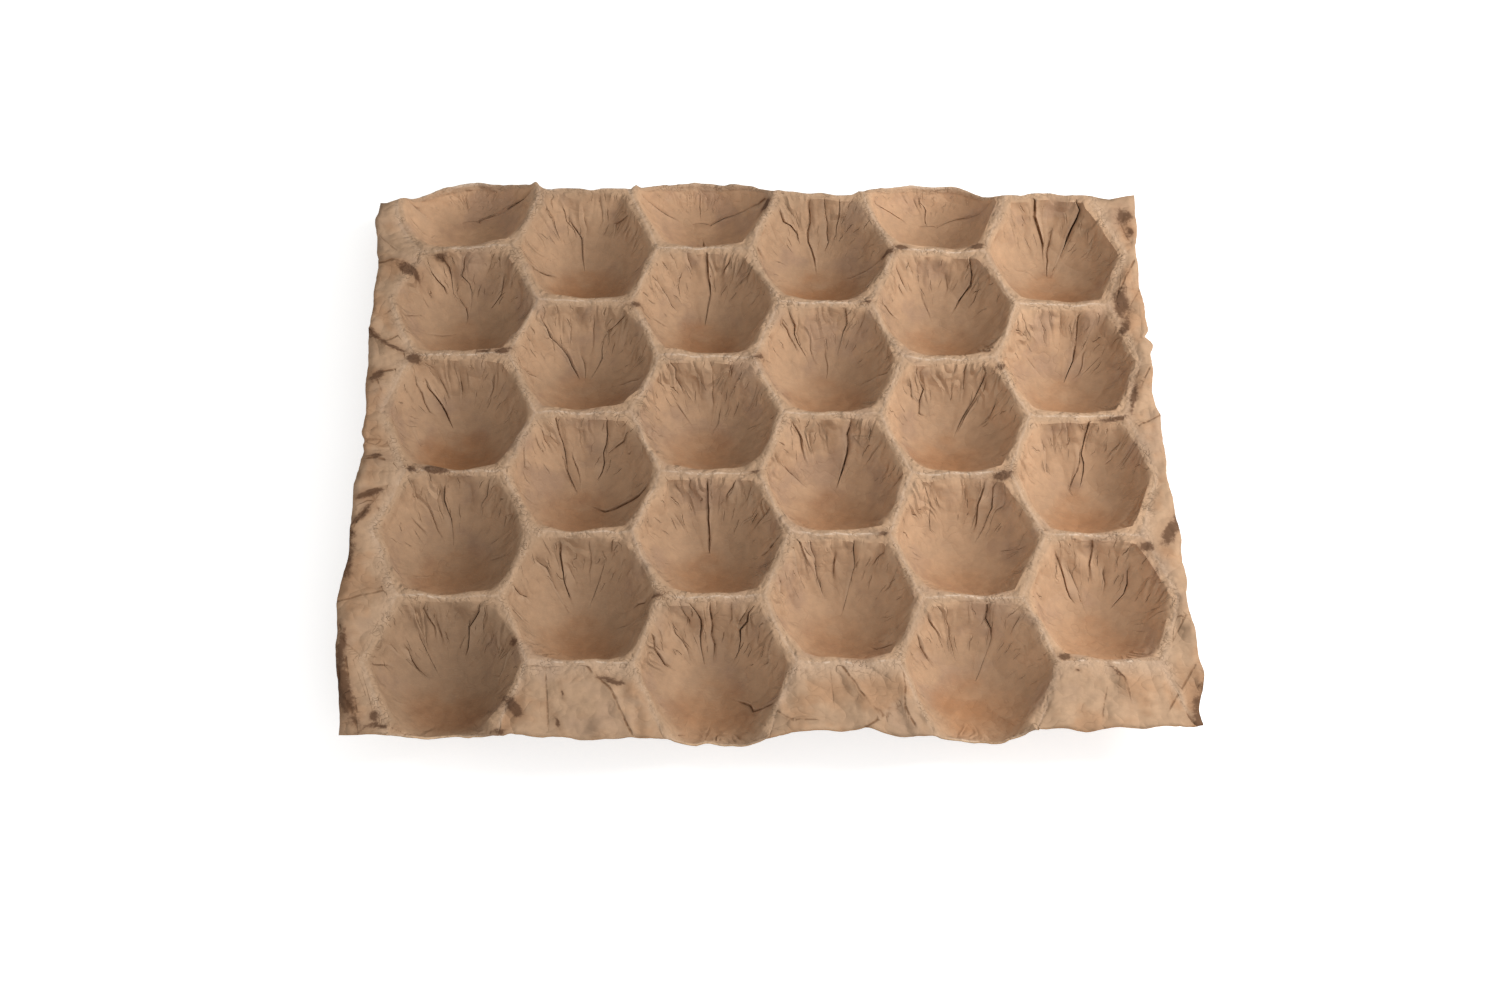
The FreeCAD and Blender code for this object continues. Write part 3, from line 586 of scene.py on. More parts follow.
    def press_ring(self, ring, folds):
        """The places of one ring's vertices, and the way out from the cup's axis to each."""
        px, py, hang = [np.interp(folds % FOLDS, np.arange(FOLDS + 1), line)
                        for line in self.pattern.T]
        rim = settled(px, py, hang)
        cut = openness(px, py)
        steep = np.radians(RIM_ANGLE + (CUT_ANGLE - RIM_ANGLE) * cut)
        out = rim[:, :2] - (self.x, self.y)
        width = np.hypot(out[:, 0], out[:, 1])
        out /= width[:, None]
        ridge = half_ridge(px, py)
        bowl = np.maximum(0, width - PITCH / 2)
        fall = RIDGE_ROUND * (1 - cut) + ridge * np.tan(steep) * cut
        if ring == 0:
            radius, height = width, rim[:, 2]
        elif ring <= len(RIDGE_STEPS):
            step = RIDGE_STEPS[ring - 1]
            radius = width - ridge * step - bowl * SHOULDER_ROUNDNESS * step ** 2
            height = rim[:, 2] - fall * step ** (2 - cut)
        elif ring == RINGS - 1:
            radius, height = np.full(FOLDS, BOTTOM_FLAT / 2), np.full(FOLDS, -CUP_DEPTH)
        else:
            share = WALL_STEPS[ring - 1 - len(RIDGE_STEPS)]
            flat = np.arcsin(BOTTOM_FLAT / PITCH * np.sin(steep))
            sunk = (np.cos(steep * share) - np.cos(steep)) / (np.cos(flat) - np.cos(steep))
            inset = np.sin(steep * share) / np.sin(steep)
            roundness = np.interp(share, ROUND_SHARES, ROUNDNESS)
            radius = (width - ridge - bowl * roundness) * inset
            height = rim[:, 2] - fall + (-CUP_DEPTH - rim[:, 2] + fall) * sunk
        return np.column_stack([(self.x, self.y) + out * radius[:, None], height]), out

    def pleats(self, round_wall):
        """Loose folds down the wall, strongest in its upper half and under the back rim."""
        lift = np.zeros((RINGS, FOLDS))
        for ring in range(len(RIDGE_STEPS), RINGS - 1):
            for fold in range(FOLDS):
                across, along, depth = round_wall[ring, fold]
                # From the shoulder to just above the bottom, and strongest at the back
                fade = min(1.0, 0.08 + depth * 5) * min(1.0, max(0.0, 1.25 * (0.85 - depth)))
                behind = 0.75 + 0.25 * along
                spot = Vector((across * PLEAT_WAVES + 9.1 * self.seed, along * PLEAT_WAVES,
                               depth * PLEAT_FALL))
                small_spot = spot * SMALL_PLEAT_WAVES + Vector((5, 2, 8))
                pinched, small = [2 * abs(noise.noise(at)) - 0.5 for at in (spot, small_spot)]
                lift[ring, fold] = fade * behind * (pinched + SMALL_PLEAT * small)
        return lift


def grid_normals(places):
    """Upward normals of a closed band of rings."""
    around = np.roll(places, -1, axis=1) - np.roll(places, 1, axis=1)
    down = np.gradient(places, axis=0)
    normals = np.cross(down, around)
    normals /= np.maximum(np.linalg.norm(normals, axis=-1, keepdims=True), TINY)
    return normals * np.where(normals[:, :, 2:] < 0, -1, 1)


def set_values(mesh, name, values):
    kind = "FLOAT_VECTOR" if values.ndim == 2 else "FLOAT"
    attribute = mesh.attributes.get(name) or mesh.attributes.new(name, kind, "POINT")
    attribute.data.foreach_set("vector" if kind == "FLOAT_VECTOR" else "value",
                               values.astype(np.float32).ravel())


def get_values(mesh, name):
    values = np.empty(len(mesh.vertices))
    mesh.attributes[name].data.foreach_get("value", values)
    return values


def shape(mesh, places, marks):
    """Puts a mesh's vertices in their places, and marks what the paper is like there."""
    mesh.vertices.foreach_set("co", places.ravel())
    for name, values in marks.items():
        set_values(mesh, name, values)


def press_cup(blank, cup):
    """A copy of the blank with its vertices pressed into this cup."""
    pressed = blank.copy()
    pressed.data = blank.data.copy()
    bpy.context.collection.objects.link(pressed)
    ring, fold = blank_places(blank.data)
    places, marks = cup.press()
    shape(pressed.data, places[ring, fold],
          {name: values[ring, fold] for name, values in marks.items()})
    return pressed


# ---------------- the flat margins
def flat_paper(inner, outer, steps):
    """A grid of paper between a line of points and the cut edge."""
    bpy.ops.object.select_all(action="DESELECT")
    bpy.ops.mesh.primitive_grid_add(x_subdivisions=len(inner) - 1, y_subdivisions=steps, size=1)
    paper = bpy.context.object
    co = vertex_vectors(paper.data)
    column = np.rint((co[:, 0] + 0.5) * (len(inner) - 1)).astype(int)
    row = np.rint((co[:, 1] + 0.5) * steps).astype(int)
    across = (row / steps)[:, None]
    marks = dict.fromkeys(("fold_strength", "fold_lip", "wall", "cup", "shade_warmth", "gathered",
                           "pale"), np.zeros(len(co)))
    marks.update(fold_away=np.full(len(co), FAR), wall_run=np.zeros((len(co), 3)),
                 loose=np.minimum(1, row / steps * 3))
    shape(paper.data, inner[column] * (1 - across) + outer[column] * across, marks)
    return paper


def side_margin(side):
    """The margin along the left (-1) or right (1) edge, beside the zigzag of its column."""
    column = 0 if side < 0 else COLUMNS - 1
    x = column_axis(column)
    near, far = x + side * HALF_SIDE, x + side * REACH
    sides = []
    for half in range(2 * CUPS + 1):
        y = BACK_LINE - half * PITCH / 2
        start, end = (far, near) if (half % 2 == 0) == is_shifted(column) else (near, far)
        sides.append(((start, y), (end, y - PITCH / 2), SLANT_FOLDS, 1))
    px, py, hang = np.array(along_sides(sides) + [(end, FRONT_LINE, 0.0)]).T
    inner = settled(px, py, hang)
    outer = settled(far + side * side_reach(side, py), py, 0)
    return flat_paper(inner, outer, MARGIN_STEPS)


def front_panel(column):
    """The flat paper in front of a column that ends half a cup short of the front edge."""
    right, back_right, back_left, left = hexagon(column_axis(column), FRONT_LINE)[:4]
    sides = [(left, back_left, SLANT_FOLDS, 1), (back_left, back_right, RIM_FOLDS, 1),
             (back_right, right, SLANT_FOLDS, 1)]
    px, py, hang = np.array(along_sides(sides) + [(*right, 0.0)]).T
    return flat_paper(settled(px, py, hang), settled(px, np.full_like(px, FRONT_LINE), 0),
                      PANEL_STEPS)


def all_cups():
    cups = []
    for column in range(COLUMNS):
        x = column_axis(column)
        first = BACK_LINE - (PITCH if is_shifted(column) else PITCH / 2)
        for number in range(CUPS):
            name = "%d%s" % (column + 1, "abcd"[number])
            cups.append(Cup(x, first - number * PITCH, False, name, len(cups) + 1))
        if is_shifted(column):
            cups.append(Cup(x, BACK_LINE, True, "%dh" % (column + 1), len(cups) + 1))
    return cups


# ---------------- crumpling the sheet
def from_line(co, start, end):
    """Distances from a line, positive to its left, and how far points lie beyond its ends."""
    start, end = np.array(start), np.array(end)
    run = end - start
    length = np.hypot(*run)
    run = run / length
    off = co - start
    along = off @ run
    beyond = np.maximum(0, np.maximum(-along, along - length))
    return off[:, 0] * -run[1] + off[:, 1] * run[0], beyond


def crease_flat_paper(co, loose, away, strength):
    """Marks the creases in the flat paper by the distance to each, signed by its side."""
    push = np.zeros(len(co))
    plan = co[:, :2] * 1000
    for crease in FLAT_CREASES:
        weight, path = crease[0], crease[1:]
        for start, end in zip(path, path[1:]):
            side, beyond = from_line(plan, start, end)
            near = np.hypot(side, beyond)
            nearest = (near < np.abs(away) * 1000) & (loose > 0) & (near < FAR * 1000)
            away[nearest] = side[nearest] / 1000
            strength[nearest] = min(1.0, FLAT_LINE_STRENGTH * weight) * np.exp(
                -(beyond[nearest] / FLAT_LINE_END) ** 2 - (side[nearest] / FLAT_LINE_SPREAD) ** 2)
            push += (FLAT_PUSH * loose * weight * np.exp(-(near / FLAT_PUSH_SPREAD) ** 2)
                     * np.sign(weight - FLAT_UPWARD))
    return push


def stain_field(co):
    """How deep in a stain each point lies: 1 in its middle, 0 on its border, then below."""
    plan = co[:, :2] * 1000
    field = np.full(len(co), STAIN_FAR)
    for x, y, length, width, direction, strength in STAINS:
        turn = math.radians(direction)
        off = plan - (x, y)
        along = off @ (math.cos(turn), math.sin(turn)) / (length / 2)
        across = off @ (-math.sin(turn), math.cos(turn)) / (width / 2)
        field = np.maximum(field, 1 - np.hypot(along, across) - (1 - strength) * 0.3)
    return field


def crumple(mesh):
    """Makes the joined sheet uneven, and marks its flat creases and its stains."""
    co, normals = vertex_vectors(mesh), vertex_vectors(mesh, "normal")
    wall, loose, away, strength = [get_values(mesh, name) for name in
                                   ("wall", "loose", "fold_away", "fold_strength")]
    placed = co + np.array(SHEET_OFFSET)
    push = crease_flat_paper(placed, loose, away, strength)
    unevenness = settings().crumple
    noise.seed_set(NOISE_SEED)
    for i, place in enumerate(placed):
        spot = Vector(place)
        dents = noise.noise(spot * DENTS) * DENT_HEIGHT
        kinks = 1 - 2 * abs(noise.noise(spot * KINKS + Vector((3, 1, 7))))
        fine = noise.noise_vector(spot * FINE)
        waves = noise.noise(spot * LOOSE_DENTS)
        level = -co[i, 2] / CUP_DEPTH
        on_wall = wall[i] * max(0.0, 1 - level) ** 0.5
        on_loose = LOOSE_KINKS * kinks + LOOSE_DENT_HEIGHT * dents + LOOSE_WAVES * waves
        lift = unevenness * (on_wall * (WALL_DENTS * dents + WALL_KINKS * kinks)
                             + loose[i] * on_loose
                             + RIDGE_LIFT * (1 - wall[i]) * (1 - loose[i]) * fine.z)
        sideways = RIDGE_SHIFT * unevenness * (1 - WALL_SPARED * wall[i]) * (1 - loose[i])
        co[i] += normals[i] * lift
        co[i] += (fine.x * sideways, fine.y * sideways, 0)
    co[:, 2] += push * unevenness
    bend_edges(mesh, co)
    co[:, 2] = np.maximum(co[:, 2], -CUP_DEPTH)
    co += np.array(SHEET_OFFSET)
    shape(mesh, co, {"fold_away": away, "fold_strength": strength, "stain": stain_field(co)})


def bend_edges(mesh, co):
    """Roughens the cut edge, and pushes it in, out or up where it is torn, bent or juts out."""
    used = np.zeros(len(mesh.edges), int)
    loop_edges = np.empty(len(mesh.loops), int)
    mesh.loops.foreach_get("edge_index", loop_edges)
    np.add.at(used, loop_edges, 1)
    pairs = np.empty(len(mesh.edges) * 2, int)
    mesh.edges.foreach_get("vertices", pairs)
    rim = set(pairs.reshape(-1, 2)[used == 1].ravel().tolist())
    for i in rim:
        spot = Vector(co[i]) * EDGE_ROUGHNESS
        rough = noise.noise_vector(spot) * 0.5 + noise.noise_vector(spot * 2.3) * 0.3
        co[i] += np.array((rough.x, rough.y, 0.6 * rough.z)) * settings().crumple
    for x, y, px, py, pz, spread in EDGE_BITS:
        middle = np.array((x, y)) / 1000 - np.array(SHEET_OFFSET[:2])
        near = np.hypot(*(co[:, :2] - middle).T) / (spread / 1000)
        share = np.exp(-near ** 2)[:, None]
        co += share * np.array((px, py, pz)) / 1000


# ---------------- paper as a material
# How fine each pattern of the paper is, in waves to a metre
MOTTLE, TINT, BLUSH, TORN, BROKEN, CLOUD = 22.0, 36.0, 31.0, 130.0, 200.0, 170.0
KINK, RIDGE_KINK, FINE_KINK = 45.0, 115.0, 230.0
PLEAT_STEP = 0.08                 # how much the noise changes across one face of a pleat

# Colours that come and go over the sheet, the first three as shares of the clean paper's
DARK_MOTTLE, PALE_MOTTLE, GREY_TINT = (0.92,) * 3, (1.06,) * 3, (0.82, 0.82, 0.88)
BLUSH_COLOUR = (0.43, 0.235, 0.125, 1.0)
FIBRE_COLOUR = (0.62, 0.45, 0.30, 1.0)
# Painted highlights: on the creases' lips, on the ridges' fine kinks and along the ridges' crests
LIP_HIGHLIGHT_COLOUR = (0.66, 0.48, 0.335, 1.0)
FINE_KINK_HIGHLIGHT_COLOUR = (0.72, 0.555, 0.415, 1.0)
CREST_HIGHLIGHT_COLOUR = (0.74, 0.58, 0.45, 1.0)
SOILED_COLOUR = (0.25, 0.125, 0.062, 1.0)

# How strongly each kind of line is drawn, as painted shade in a crease or wrinkle or as a painted
# highlight on a lip, and how wide the creases' own are, in metres
LINE, STREWN_LINE, KINK_LINE, RIDGE_KINK_LINE, HALO = 0.9, 0.8, 0.1, 0.4, 0.15
LIP, STREWN_LIP, FINE_KINK_LINE = 0.3, 0.5, 0.45
LINE_WIDTH, STRONG_LINE_WIDTH, HALO_WIDTH = 0.00035, 0.0004, 0.0035

# Relief, in metres for a pattern that runs from 0 to 1
KINK_LIFT, FLAT_KINK_LIFT = 0.0045, 0.0045
RIDGE_KINK_LIFT, FLAT_RIDGE_KINK_LIFT, FINE_KINK_LIFT = 0.0032, 0.0005, 0.0018
GATHER_LIFT, PLEAT_LIFT = 0.0040, 0.016
MOTTLE_LIFT, FIBRE_LIFT, LIP_LIFT, CREASE_LIFT = 0.0012, 0.00004, 0.0006, -0.0008


class Nodes:
    """A node tree, with short ways to add the nodes that this file uses."""

    def __init__(self, tree):
        self.tree = tree

    def add(self, kind, values=None, **node_settings):
        """A node with its settings, and its input sockets set to values or joined to sockets."""
        node = self.tree.nodes.new(kind)
        for name, value in node_settings.items():
            setattr(node, name, value)
        for key, value in (values or {}).items():
            if isinstance(value, bpy.types.NodeSocket):
                self.tree.links.new(value, node.inputs[key])
            else:
                node.inputs[key].default_value = value
        return node

    def calc(self, operation, *terms, clamp=False):
        return self.add("ShaderNodeMath", dict(enumerate(terms)), operation=operation,
                        use_clamp=clamp).outputs[0]

    def times(self, first, *others):
        for other in others:
            first = self.calc("MULTIPLY", first, other)
        return first

    def times_add(self, first, second, third):
        return self.calc("MULTIPLY_ADD", first, second, third)

    def most(self, first, *others):
        for other in others:
            first = self.calc("MAXIMUM", first, other)
        return first

    def off(self, value, middle):
        """How far a value is from a middle, either way."""
        return self.calc("ABSOLUTE", self.calc("SUBTRACT", value, middle))

    def remap(self, value, low, high, to_low=0.0, to_high=1.0):
        return self.add("ShaderNodeMapRange",
                        {"Value": value, "From Min": low, "From Max": high, "To Min": to_low,
                         "To Max": to_high}, interpolation_type="SMOOTHSTEP").outputs["Result"]

    def mix(self, share, first, second, blend="MIX"):
        return self.add("ShaderNodeMix", {0: share, 6: first, 7: second}, data_type="RGBA",
                        blend_type=blend).outputs[2]

    def noise(self, vector, scale, detail=3.0, roughness=0.5):
        return self.add("ShaderNodeTexNoise", {"Vector": vector, "Scale": scale, "Detail": detail,
                                               "Roughness": roughness}).outputs["Fac"]

    def read(self, name, output="Fac"):
        return self.add("ShaderNodeAttribute", attribute_type="GEOMETRY",
                        attribute_name=name).outputs[output]

    def group(self, tree, **values):
        return self.add("ShaderNodeGroup", values, node_tree=tree).outputs

    def for_camera(self, others, seen):
        """One shader for the camera's own rays, and another for all others."""
        rays = self.add("ShaderNodeLightPath").outputs
        return self.add("ShaderNodeMixShader", {0: rays["Is Camera Ray"], 1: others.outputs[0],
                                                2: seen.outputs[0]}).outputs[0]


class Group(Nodes):
    """A new node group; each of its inputs starts as a value, or as None for a vector."""

    def __init__(self, name, **inputs):
        super().__init__(bpy.data.node_groups.new(name, "ShaderNodeTree"))
        for label, value in inputs.items():
            kind = "NodeSocketVector" if value is None else "NodeSocketFloat"
            item = self.tree.interface.new_socket(name=label, in_out="INPUT", socket_type=kind)
            if value is not None:
                item.default_value = value
        self.given = self.tree.nodes.new("NodeGroupInput").outputs

    def give(self, **found):
        """Ends the group with what was found, each under its name."""
        for label, socket in found.items():
            kind = "NodeSocketVector" if socket.type == "VECTOR" else "NodeSocketFloat"
            self.tree.interface.new_socket(name=label, in_out="OUTPUT", socket_type=kind)
        self.add("NodeGroupOutput", found)
        return self.tree


def fibre_group():
    """Kraft pulp: short fibres lying all ways, and cloudy formation."""
    group = Group("kraft_fibres", Place=None, Scale=1.0)
    place = group.add("ShaderNodeVectorMath", {0: group.given["Place"], 3: group.given["Scale"]},
                      operation="SCALE").outputs[0]
    layers = []
    for turn in (0.3, 1.4, 2.5):
        laid = group.add("ShaderNodeMapping", {"Vector": place, "Rotation": (0.2, 0.1, turn),
                                               "Scale": (260.0, 1500.0, 900.0)}).outputs[0]
        layers.append(group.remap(group.noise(laid, 1.0, 2.0, 0.6), 0.56, 0.72))
    return group.give(Fibres=group.most(*layers), Clouds=group.noise(place, CLOUD, 4.0, 0.6))


def wall_place_group():
    """A place on a cup's wall, stretched down the wall and different in every cup."""
    group = Group("wall_place", Run=None, Cup=0.0, Around=5.6, Down=3.8)
    run = group.add("ShaderNodeSeparateXYZ", {0: group.given["Run"]}).outputs
    around = group.given["Around"]
    place = group.add("ShaderNodeCombineXYZ",
                      {0: group.times_add(run[0], around, group.times(group.given["Cup"], 3.7)),
                       1: group.times(run[1], around),
                       2: group.times(run[2], group.given["Down"])})
    return group.give(Place=place.outputs[0])


def short_crease_group():
    """Short creases strewn over the cups' walls, most of them running down the wall."""
    group = Group("short_creases", Place=None, Run=None, Width=0.065, Spared=0.64)
    cosine, sine, depth = group.add("ShaderNodeSeparateXYZ", {0: group.given["Run"]}).outputs
    place, width = group.given["Place"], group.given["Width"]
    stir = group.add("ShaderNodeTexNoise", {"Vector": place, "Scale": 1.6, "Detail": 2.0})
    bent = group.add("ShaderNodeVectorMath",
                     {0: stir.outputs["Color"], 1: (0.55, 0.55, 0.55), 2: place},
                     operation="MULTIPLY_ADD").outputs[0]
    # Each cell holds one crease: how far across it a place lies, and what the cell drew
    cell = group.add("ShaderNodeTexVoronoi", {"Vector": bent, "Scale": 1.0}, feature="F1").outputs
    off = group.add("ShaderNodeVectorMath", {0: bent, 1: cell["Position"]}, operation="SUBTRACT")
    off = group.add("ShaderNodeSeparateXYZ", {0: off.outputs[0]}).outputs
    drawn = group.add("ShaderNodeSeparateColor", {0: cell["Color"]}).outputs
    sideways = group.calc("SUBTRACT", group.times(off[1], cosine), group.times(off[0], sine))
    lean = group.times(group.calc("SUBTRACT", drawn[1], 0.5), 1.5)
    sideways = group.times_add(off[2], lean, sideways)
    # They crowd in the two back corners, and end well above the bottom
    corner = group.remap(group.off(group.calc("ABSOLUTE", cosine), 0.5), 0.05, 0.35, 1.0, 0.0)
    corner = group.times(corner, group.remap(sine, 0.3, 0.7))
    spared = group.times_add(corner, -0.4, group.given["Spared"])
    kept = group.calc("GREATER_THAN", drawn[0], spared)
    ends = group.remap(group.calc("ABSOLUTE", off[2]), 0.12, 0.5, 1.0, 0.0)
    shown = group.times(ends, group.times(kept, group.remap(drawn[2], 0.0, 1.0, 0.35, 1.0)))
    shown = group.times(shown, group.remap(depth, 0.6, 0.95, 1.0, 0.0),
                        group.remap(sine, -0.6, 0.6, 0.25, 1.0))
    lines = group.remap(group.calc("ABSOLUTE", sideways), 0.0, width, 1.0, 0.0)
    beside = group.off(sideways, group.times(width, 1.6))
    lips = group.remap(beside, 0.0, group.times(width, 1.4), 1.0, 0.0)
    return group.give(Lines=group.times(lines, shown), Lips=group.times(lips, shown))


def crumple_group():
    """Paper that was crumpled: soft facets that meet in kinks, and wrinkles in patches."""
    group = Group("crumpled_paper", Place=None, Scale=1.0)
    place, scale = group.given["Place"], group.given["Scale"]
    wide = group.off(group.noise(place, scale, 1.0, 0.3), 0.5)
    fine = group.off(group.noise(place, group.times(scale, 2.6), 1.0, 0.4), 0.5)
    patches = group.noise(place, group.times(scale, 0.7), 1.0, 0.5)
    lines = group.times(group.remap(fine, 0.0, 0.03, 1.0, 0.0), group.remap(patches, 0.5, 0.62))
    return group.give(Facets=group.times_add(fine, 0.25, wide), Wrinkles=lines)


def pleat_group():
    """Sharp narrow pleats in patches, running the way the place was stretched."""
    group = Group("paper_pleats", Place=None)
    place = group.given["Place"]
    folded = group.calc("PINGPONG", group.noise(place, 1.0, 1.0, 0.35), PLEAT_STEP)
    patches = group.remap(group.noise(place, 0.6, 1.0, 0.5), 0.46, 0.6, 0.1, 1.0)
    return group.give(Pleats=group.times(folded, patches))


def opaque(colour, bright=(1.0, 1.0, 1.0)):
    """A colour with its alpha, each channel brighter or darker by a share."""
    return [channel * share for channel, share in zip(colour, bright)] + [1.0]


def emptied(owner):
    """The node tree of a new material or world, cleared."""
    owner.use_nodes = True
    owner.node_tree.nodes.clear()
    return owner.node_tree


class KraftPaper(Nodes):
    """Brown kraft paper, stained, with painted shade in its creases, painted highlights on their
    lips and the ridges, and painted warm shade down in the cups.
    """

    def __init__(self, name, groups, tinge):
        self.material = bpy.data.materials.new(name)
        super().__init__(emptied(self.material))
        self.place_patterns(groups)
        paper = self.stain(self.crease(self.colour()))
        paper = self.mix(1.0, paper, opaque(tinge), "MULTIPLY")
        bump = self.add("ShaderNodeBump", {"Strength": 0.9, "Distance": 1.0,
                                           "Height": self.relief()})
        shader = self.add("ShaderNodeBsdfPrincipled",
                          {"Base Color": paper, "Normal": bump.outputs[0],
                           "Roughness": self.remap(self.pulp["Clouds"], 0.3, 0.7, 0.82, 0.94),
                           "Specular IOR Level": 0.25})
        self.add("ShaderNodeOutputMaterial", {"Surface": shader.outputs[0]})

    def place_patterns(self, groups):
        """Where the walls, ridges and flat paper are, and the patterns that lie on them."""
        fibres, wall_place, short_creases, crumpled, pleated = groups
        self.place = place = self.add("ShaderNodeTexCoord").outputs["Object"]
        self.wall = self.read("wall")
        self.on_wall = self.remap(self.wall, 0.3, 0.9)
        off_wall = self.calc("SUBTRACT", 1.0, self.on_wall)
        self.off_wall = off_wall
        self.on_flat = self.times(self.read("loose"), off_wall)
        self.on_ridge = self.calc("SUBTRACT", off_wall, self.on_flat)
        self.gathered = self.read("gathered")
        run, cup = self.read("wall_run", "Vector"), self.read("cup")
        self.where = self.add("ShaderNodeSeparateXYZ", {0: run}).outputs
        self.pulp = self.group(fibres, Place=place)
        strewn = self.group(wall_place, Run=run, Cup=cup)[0]
        self.small = self.group(short_creases, Run=run, Place=strewn)
        drawn = self.group(wall_place, Run=run, Cup=cup, Around=3.2, Down=1.3)[0]
        self.gathers = self.group(crumpled, Place=drawn)
        self.pleats = self.group(pleated, Place=drawn)
        self.kinks = self.group(crumpled, Place=place, Scale=KINK)
        self.ridge_kinks = self.group(crumpled, Place=place, Scale=RIDGE_KINK)
        self.fine_kinks = self.group(crumpled, Place=place, Scale=FINE_KINK)
        self.mottle = self.noise(place, MOTTLE, 4.0, 0.6)

    def colour(self):
        """The sheet: cloudy, greyer and warmer by turns, paler on the ridges partly as painted
        light, with painted warm shade in the bottoms, painted shade deeper down the walls and
        painted light towards the front right.
        """
        clean = settings().paper_colour
        tint = self.noise(self.place, TINT, 3.0, 0.55)
        # The walls' paleness: partly a random tone, partly painted light towards the front right
        pale = self.times(self.read("pale"), self.on_wall)
        paper = self.mix(self.remap(self.mottle, 0.35, 0.65), opaque(clean, DARK_MOTTLE),
                         opaque(clean, PALE_MOTTLE))
        paper = self.mix(self.times(self.remap(tint, 0.5, 0.66), 0.75), paper,
                         opaque(clean, GREY_TINT))
        # Paler on the ridges: partly the pressed paper's own colour, partly painted light where the
        # ridges stand out
        paper = self.mix(self.times(self.off_wall, 0.3), paper, opaque(settings().ridge_paper_and_light_colour))
        blushed = self.remap(self.noise(self.place, BLUSH, 3.0, 0.6), 0.46, 0.62)
        paper = self.mix(self.times(blushed, self.times(self.on_flat, 0.6)), paper, BLUSH_COLOUR)
        # Painted shade with warm bounce light in the bottoms, and up the side that faces the back,
        # away from the front lamp
        sine, depth = self.where[1], self.where[2]
        above = self.calc("SQRT", self.calc("SUBTRACT", 1.0, depth, clamp=True))
        low = self.times_add(self.times(above, sine), -0.85, depth)
        low = self.times_add(self.calc("SUBTRACT", tint, 0.5), 0.7, low)
        less = self.calc("MULTIPLY_ADD", self.read("pale"), -0.5, 1.0, clamp=True)
        warm = self.times(self.remap(low, 0.75, 1.25), self.on_wall,
                          self.times(self.read("shade_warmth"), less))
        paper = self.mix(warm, paper, opaque(settings().bottom_shade_colour))
        # Darker towards the bottom of each wall: painted shade in the cup's hollow, times the
        # walls' painted light and tone
        painted_deep_shade = self.remap(self.times(depth, self.on_wall), 0.15, 0.95, 1.0, 0.88)
        paper = self.mix(1.0, paper, self.times(painted_deep_shade, self.times_add(pale, 0.3, 1.0)), "MULTIPLY")
        clouds = self.remap(self.pulp["Clouds"], 0.3, 0.7, 0.93, 1.06)
        paper = self.mix(1.0, paper, clouds, "MULTIPLY")
        return self.mix(self.times(self.pulp["Fibres"], 0.10), paper, FIBRE_COLOUR)

    def crease(self, paper):
        """Painted shade in the creases: dark broken lines with a soft halo; painted highlights on
        the lips, the ridges' fine kinks and the crests.
        """
        broken = self.remap(self.noise(self.place, BROKEN, 2.0, 0.6), 0.36, 0.54, 0.4, 1.0)
        away = self.calc("ABSOLUTE", self.read("fold_away"))
        strength = self.read("fold_strength")
        width = self.times(self.times_add(strength, STRONG_LINE_WIDTH, LINE_WIDTH),
                           self.times_add(self.off_wall, 0.8, 1.0))
        line = self.times(self.remap(away, 0.0, width, 1.0, 0.0), strength)
        halo = self.times(self.remap(away, 0.0, HALO_WIDTH, 1.0, 0.0), strength)
        strewn = self.times(self.small["Lines"], self.on_wall, self.gathered)
        # Painted shade in the creases, the strewn creases, the kinks and the soft halo beside the
        # creases
        self.dark = self.most(
            self.times(line, broken, LINE), self.times(strewn, STREWN_LINE),
            self.times(self.kinks["Wrinkles"], KINK_LINE),
            self.times(self.ridge_kinks["Wrinkles"], self.on_ridge, RIDGE_KINK_LINE),
            self.times(halo, HALO))
        self.lips = self.most(self.read("fold_lip"),
                              self.times(self.small["Lips"], self.on_wall, STREWN_LIP))
        # Painted highlights on the creases' lips and on the ridges' fine kinks
        paper = self.mix(self.times(self.lips, LIP), paper, LIP_HIGHLIGHT_COLOUR)
        paper = self.mix(self.times(self.fine_kinks["Wrinkles"], self.on_ridge, FINE_KINK_LINE),
                         paper, FINE_KINK_HIGHLIGHT_COLOUR)
        # A painted highlight along the crests of the ridges that run across the tray
        across = self.remap(self.calc("ABSOLUTE", self.where[1]), 0.8, 0.96, 0.25, 1.0)
        crest_highlight = self.times(self.remap(self.wall, 0.0, 0.14, 1.0, 0.0), self.on_ridge, across,
                           self.remap(self.mottle, 0.38, 0.56, 0.25, 0.8))
        paper = self.mix(crest_highlight, paper, CREST_HIGHLIGHT_COLOUR)
        # The painted crease shade goes over all the rest
        return self.mix(self.dark, paper, opaque(settings().crease_shade_colour))

    def stain(self, paper):
        """Dark stains with torn borders, in a paler soiled rim."""
        torn = self.calc("SUBTRACT", self.noise(self.place, TORN, 5.0, 0.72), 0.5)
        field = self.times_add(torn, 2.8, self.read("stain"))
        paper = self.mix(self.times(self.remap(field, -1.8, 0.0), 0.3), paper, SOILED_COLOUR)
        return self.mix(self.times(self.remap(field, -0.4, 0.3), 0.85), paper,
                        opaque(settings().stain_colour))

